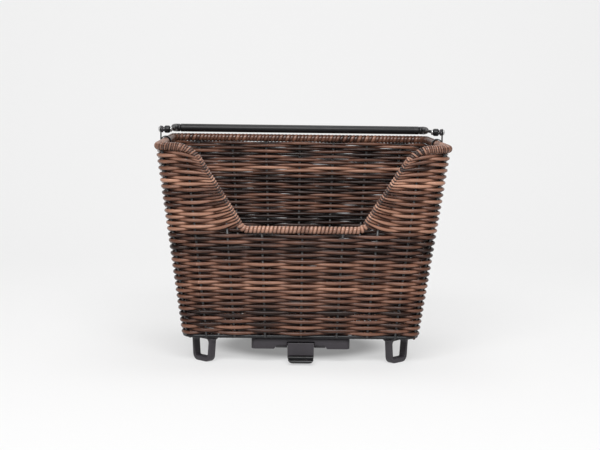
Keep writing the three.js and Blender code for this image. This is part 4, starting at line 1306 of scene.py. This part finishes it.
def buildLever():
    pinY, pinZ = lever["pin"]
    about = np.array([pinY, pinZ])
    profile = [about + point for point in filleted(lever["profile"], lever["bends"])]
    piece = flatPlate("releaseLever", [profile], "x", 0, 2 * lever["half"])
    low = pinZ + min(z for y, z in lever["profile"])
    inX, inZ = lever["half"] - lever["corner"], low + lever["corner"]
    for side in leftRight.values():
        for angle in np.radians(90) * (np.arange(lever["cornerCuts"]) + 0.5) / lever["cornerCuts"]:
            way = np.array([side * math.cos(angle), 0, -math.sin(angle)])
            trim(piece, (np.array([side * inX, pinY, inZ]) + way * lever["corner"]) * mm, way)
    soften(piece, lever["edge"], 2)
    limit = lever["half"] * mm
    for corner in piece.data.vertices:  # the bevel overshoots at an inner corner
        corner.co.x = min(max(corner.co.x, -limit), limit)
    web = [about + point for point in lever["web"]]
    spans = [a for a, r in lever["barrel"]]
    middle, length = np.mean(spans), np.ptp(spans) - 2 * lever["webInset"]
    for side in leftRight.values():
        barrel = filleted([(side * a, r) for a, r in lever["barrel"]], lever["barrelBends"])
        joined(piece, spun("barrel", barrel, "x", (0, pinY, pinZ), closed=True),
               flatPlate("web", [web], "x", side * middle, length))
    rib = [about + point for point in filleted(lever["rib"], lever["ribBends"])]
    for x in np.linspace(-0.5, 0.5, lever["ribs"]) * lever["ribSpan"]:
        joined(piece, flatPlate("rib", [rib], "x", x, lever["ribThickness"]))
    placePiece(piece, "lever", "black_plastic", "release_lever", finish=leverPlastic)
    half, radius = lever["pinHalf"], lever["pinRadius"]
    shaft = rounded([(-half, 0), (-half, radius), (half, radius), (half, 0)], lever["pinBends"])
    pin = spun("leverPin", shaft, "x", (0, pinY, pinZ), steps=lever["pinSteps"])
    placePiece(pin, "basket", "bright_steel", "lever_pin")
    turns, coil = lever["coilTurns"], lever["coilRadius"]
    angle = math.pi / 2 + 2 * math.pi * np.linspace(0, turns, int(turns * lever["coilSteps"]) + 1)
    across = np.linspace(-0.5, 0.5, len(angle)) * turns * lever["coilPitch"]
    points = np.stack([across, coil * np.cos(angle), coil * np.sin(angle)], -1)
    backLeg, frontLeg = lever["springLegs"]
    points = np.vstack([[across[0], backLeg, coil], points, [across[-1], -coil, frontLeg]])
    route = (points + np.array([0, pinY, pinZ])) * mm
    wire = wireRun(route, lever["springWire"] * mm, lever["springOut"])
    spring = strandPiece("leverSpring", [wire], lever["springSides"])
    placePiece(spring, "basket", "bright_steel", "lever_spring")
    print("lever made")


buildFeet()
buildAdapter()
buildLever()


# floor and light

studio = {
    "width": 12.0,
    "front": -6.0,
    "back": 2.4,
    "height": 5.0,
    "bend": 1.5,
    "bendSteps": 24,
    "matt": {"Roughness": 0.9, "Specular IOR Level": 0.1, "Emission Strength": 1.0},
    "bounce": (0.60, 0.60, 0.60, 1),
    "shown": (0.32, 0.32, 0.32, 1),
    # the floor glows at the first value inside an ellipse under the basket and the second outside it: a
    # painted shadow that deepens the real one
    "glow": (0.25, 0.565),
    "glowTilt": 0.027,
    "under": (0.120, 0.095),
    "paintedShadowMiddle": 0.022,
    "paintedShadowEdge": (0.74, 1.20),
    "worldLight": 0.24,
    "worldShown": 0.80,
    "rays": ("Is Camera Ray", "Is Glossy Ray", "Is Transmission Ray"),
}


def floorSockets(graph):
    rays = [graph.node("LightPath", out=ray) for ray in studio["rays"]]
    seen = rays[0] + rays[1] + rays[2]
    base = graph.mix(seen, studio["bounce"], studio["shown"])
    place = graph.place()
    # painted shadow: the glow falls off inside an ellipse round the basket's footprint
    across = place.part(0) * (1 / studio["under"][0])
    back = (place.part(1) - studio["paintedShadowMiddle"]) * (1 / studio["under"][1])
    away = graph.calc("SQRT", across * across + back * back)
    level = graph.fade(away, studio["paintedShadowEdge"], studio["glow"], "SMOOTHSTEP")
    level = level + place.part(1) * studio["glowTilt"]
    glow = graph.mix(seen, (0, 0, 0, 1), graph.vector(level, level, level))
    return {"Base Color": base, "Emission Color": glow}


def selectEdges(piece, test):
    bpy.ops.object.mode_set(mode="EDIT")
    bpy.ops.mesh.select_mode(type="EDGE")
    bpy.ops.mesh.select_all(action="DESELECT")
    bpy.ops.object.mode_set(mode="OBJECT")
    for edge in piece.data.edges:
        edge.select = all(test(piece.data.vertices[i].co) for i in edge.vertices)
    bpy.ops.object.mode_set(mode="EDIT")


def makeStage():
    bpy.ops.object.select_all(action="DESELECT")
    front, back, height = studio["front"], studio["back"], studio["height"]
    bpy.ops.mesh.primitive_plane_add(size=1, location=(0, (back + front) / 2, 0))
    floor = bpy.context.object
    floor.name = "floor"
    floor.scale = (studio["width"], back - front, 1)
    settle(floor)
    selectEdges(floor, lambda place: place.y > 0)
    bpy.ops.mesh.extrude_region_move(TRANSFORM_OT_translate={"value": (0, 0, height)})
    selectEdges(floor, lambda place: place.y > 0 and place.z < height / 2)
    bpy.ops.mesh.bevel(offset=studio["bend"], segments=studio["bendSteps"], profile=0.5)
    bpy.ops.object.mode_set(mode="OBJECT")
    bpy.ops.object.shade_smooth()
    floor.data.materials.append(newMaterial("paleFloor", studio["matt"], floorSockets))
    world = bpy.data.worlds.new("studioWorld")
    bpy.context.scene.world = world
    world.use_nodes = True
    back = world.node_tree.nodes["Background"]
    back.inputs["Color"].default_value = (1, 1, 1, 1)
    seen = Wire(world.node_tree).node("LightPath", out="Is Camera Ray")
    light = seen * (studio["worldShown"] - studio["worldLight"]) + studio["worldLight"]
    world.node_tree.links.new(light.socket, back.inputs["Strength"])


lamps = {
    "keySoftbox": {"place": (-0.15, -2.15, 1.98), "aim": (0, 0, 0.15), "size": (2.4, 1.1), "power": 85},
    "topSoftbox": {"place": (0.2, 0.35, 2.4), "aim": (0, 0, 0.2), "size": (1.8, 1.2), "power": 20},
}


def makeLamps():
    for name, lamp in lamps.items():
        data = bpy.data.lights.new(name, "AREA")
        data.shape = "RECTANGLE"
        data.size, data.size_y = lamp["size"]
        data.energy = lamp["power"]
        light = addObject(name, data)
        light.location = lamp["place"]
        way = Vector(lamp["aim"]) - Vector(lamp["place"])
        light.rotation_euler = way.to_track_quat("-Z", "Y").to_euler()


makeStage()
makeLamps()
bpy.context.scene.view_settings.view_transform = "Standard"
print("stage and lamps made")
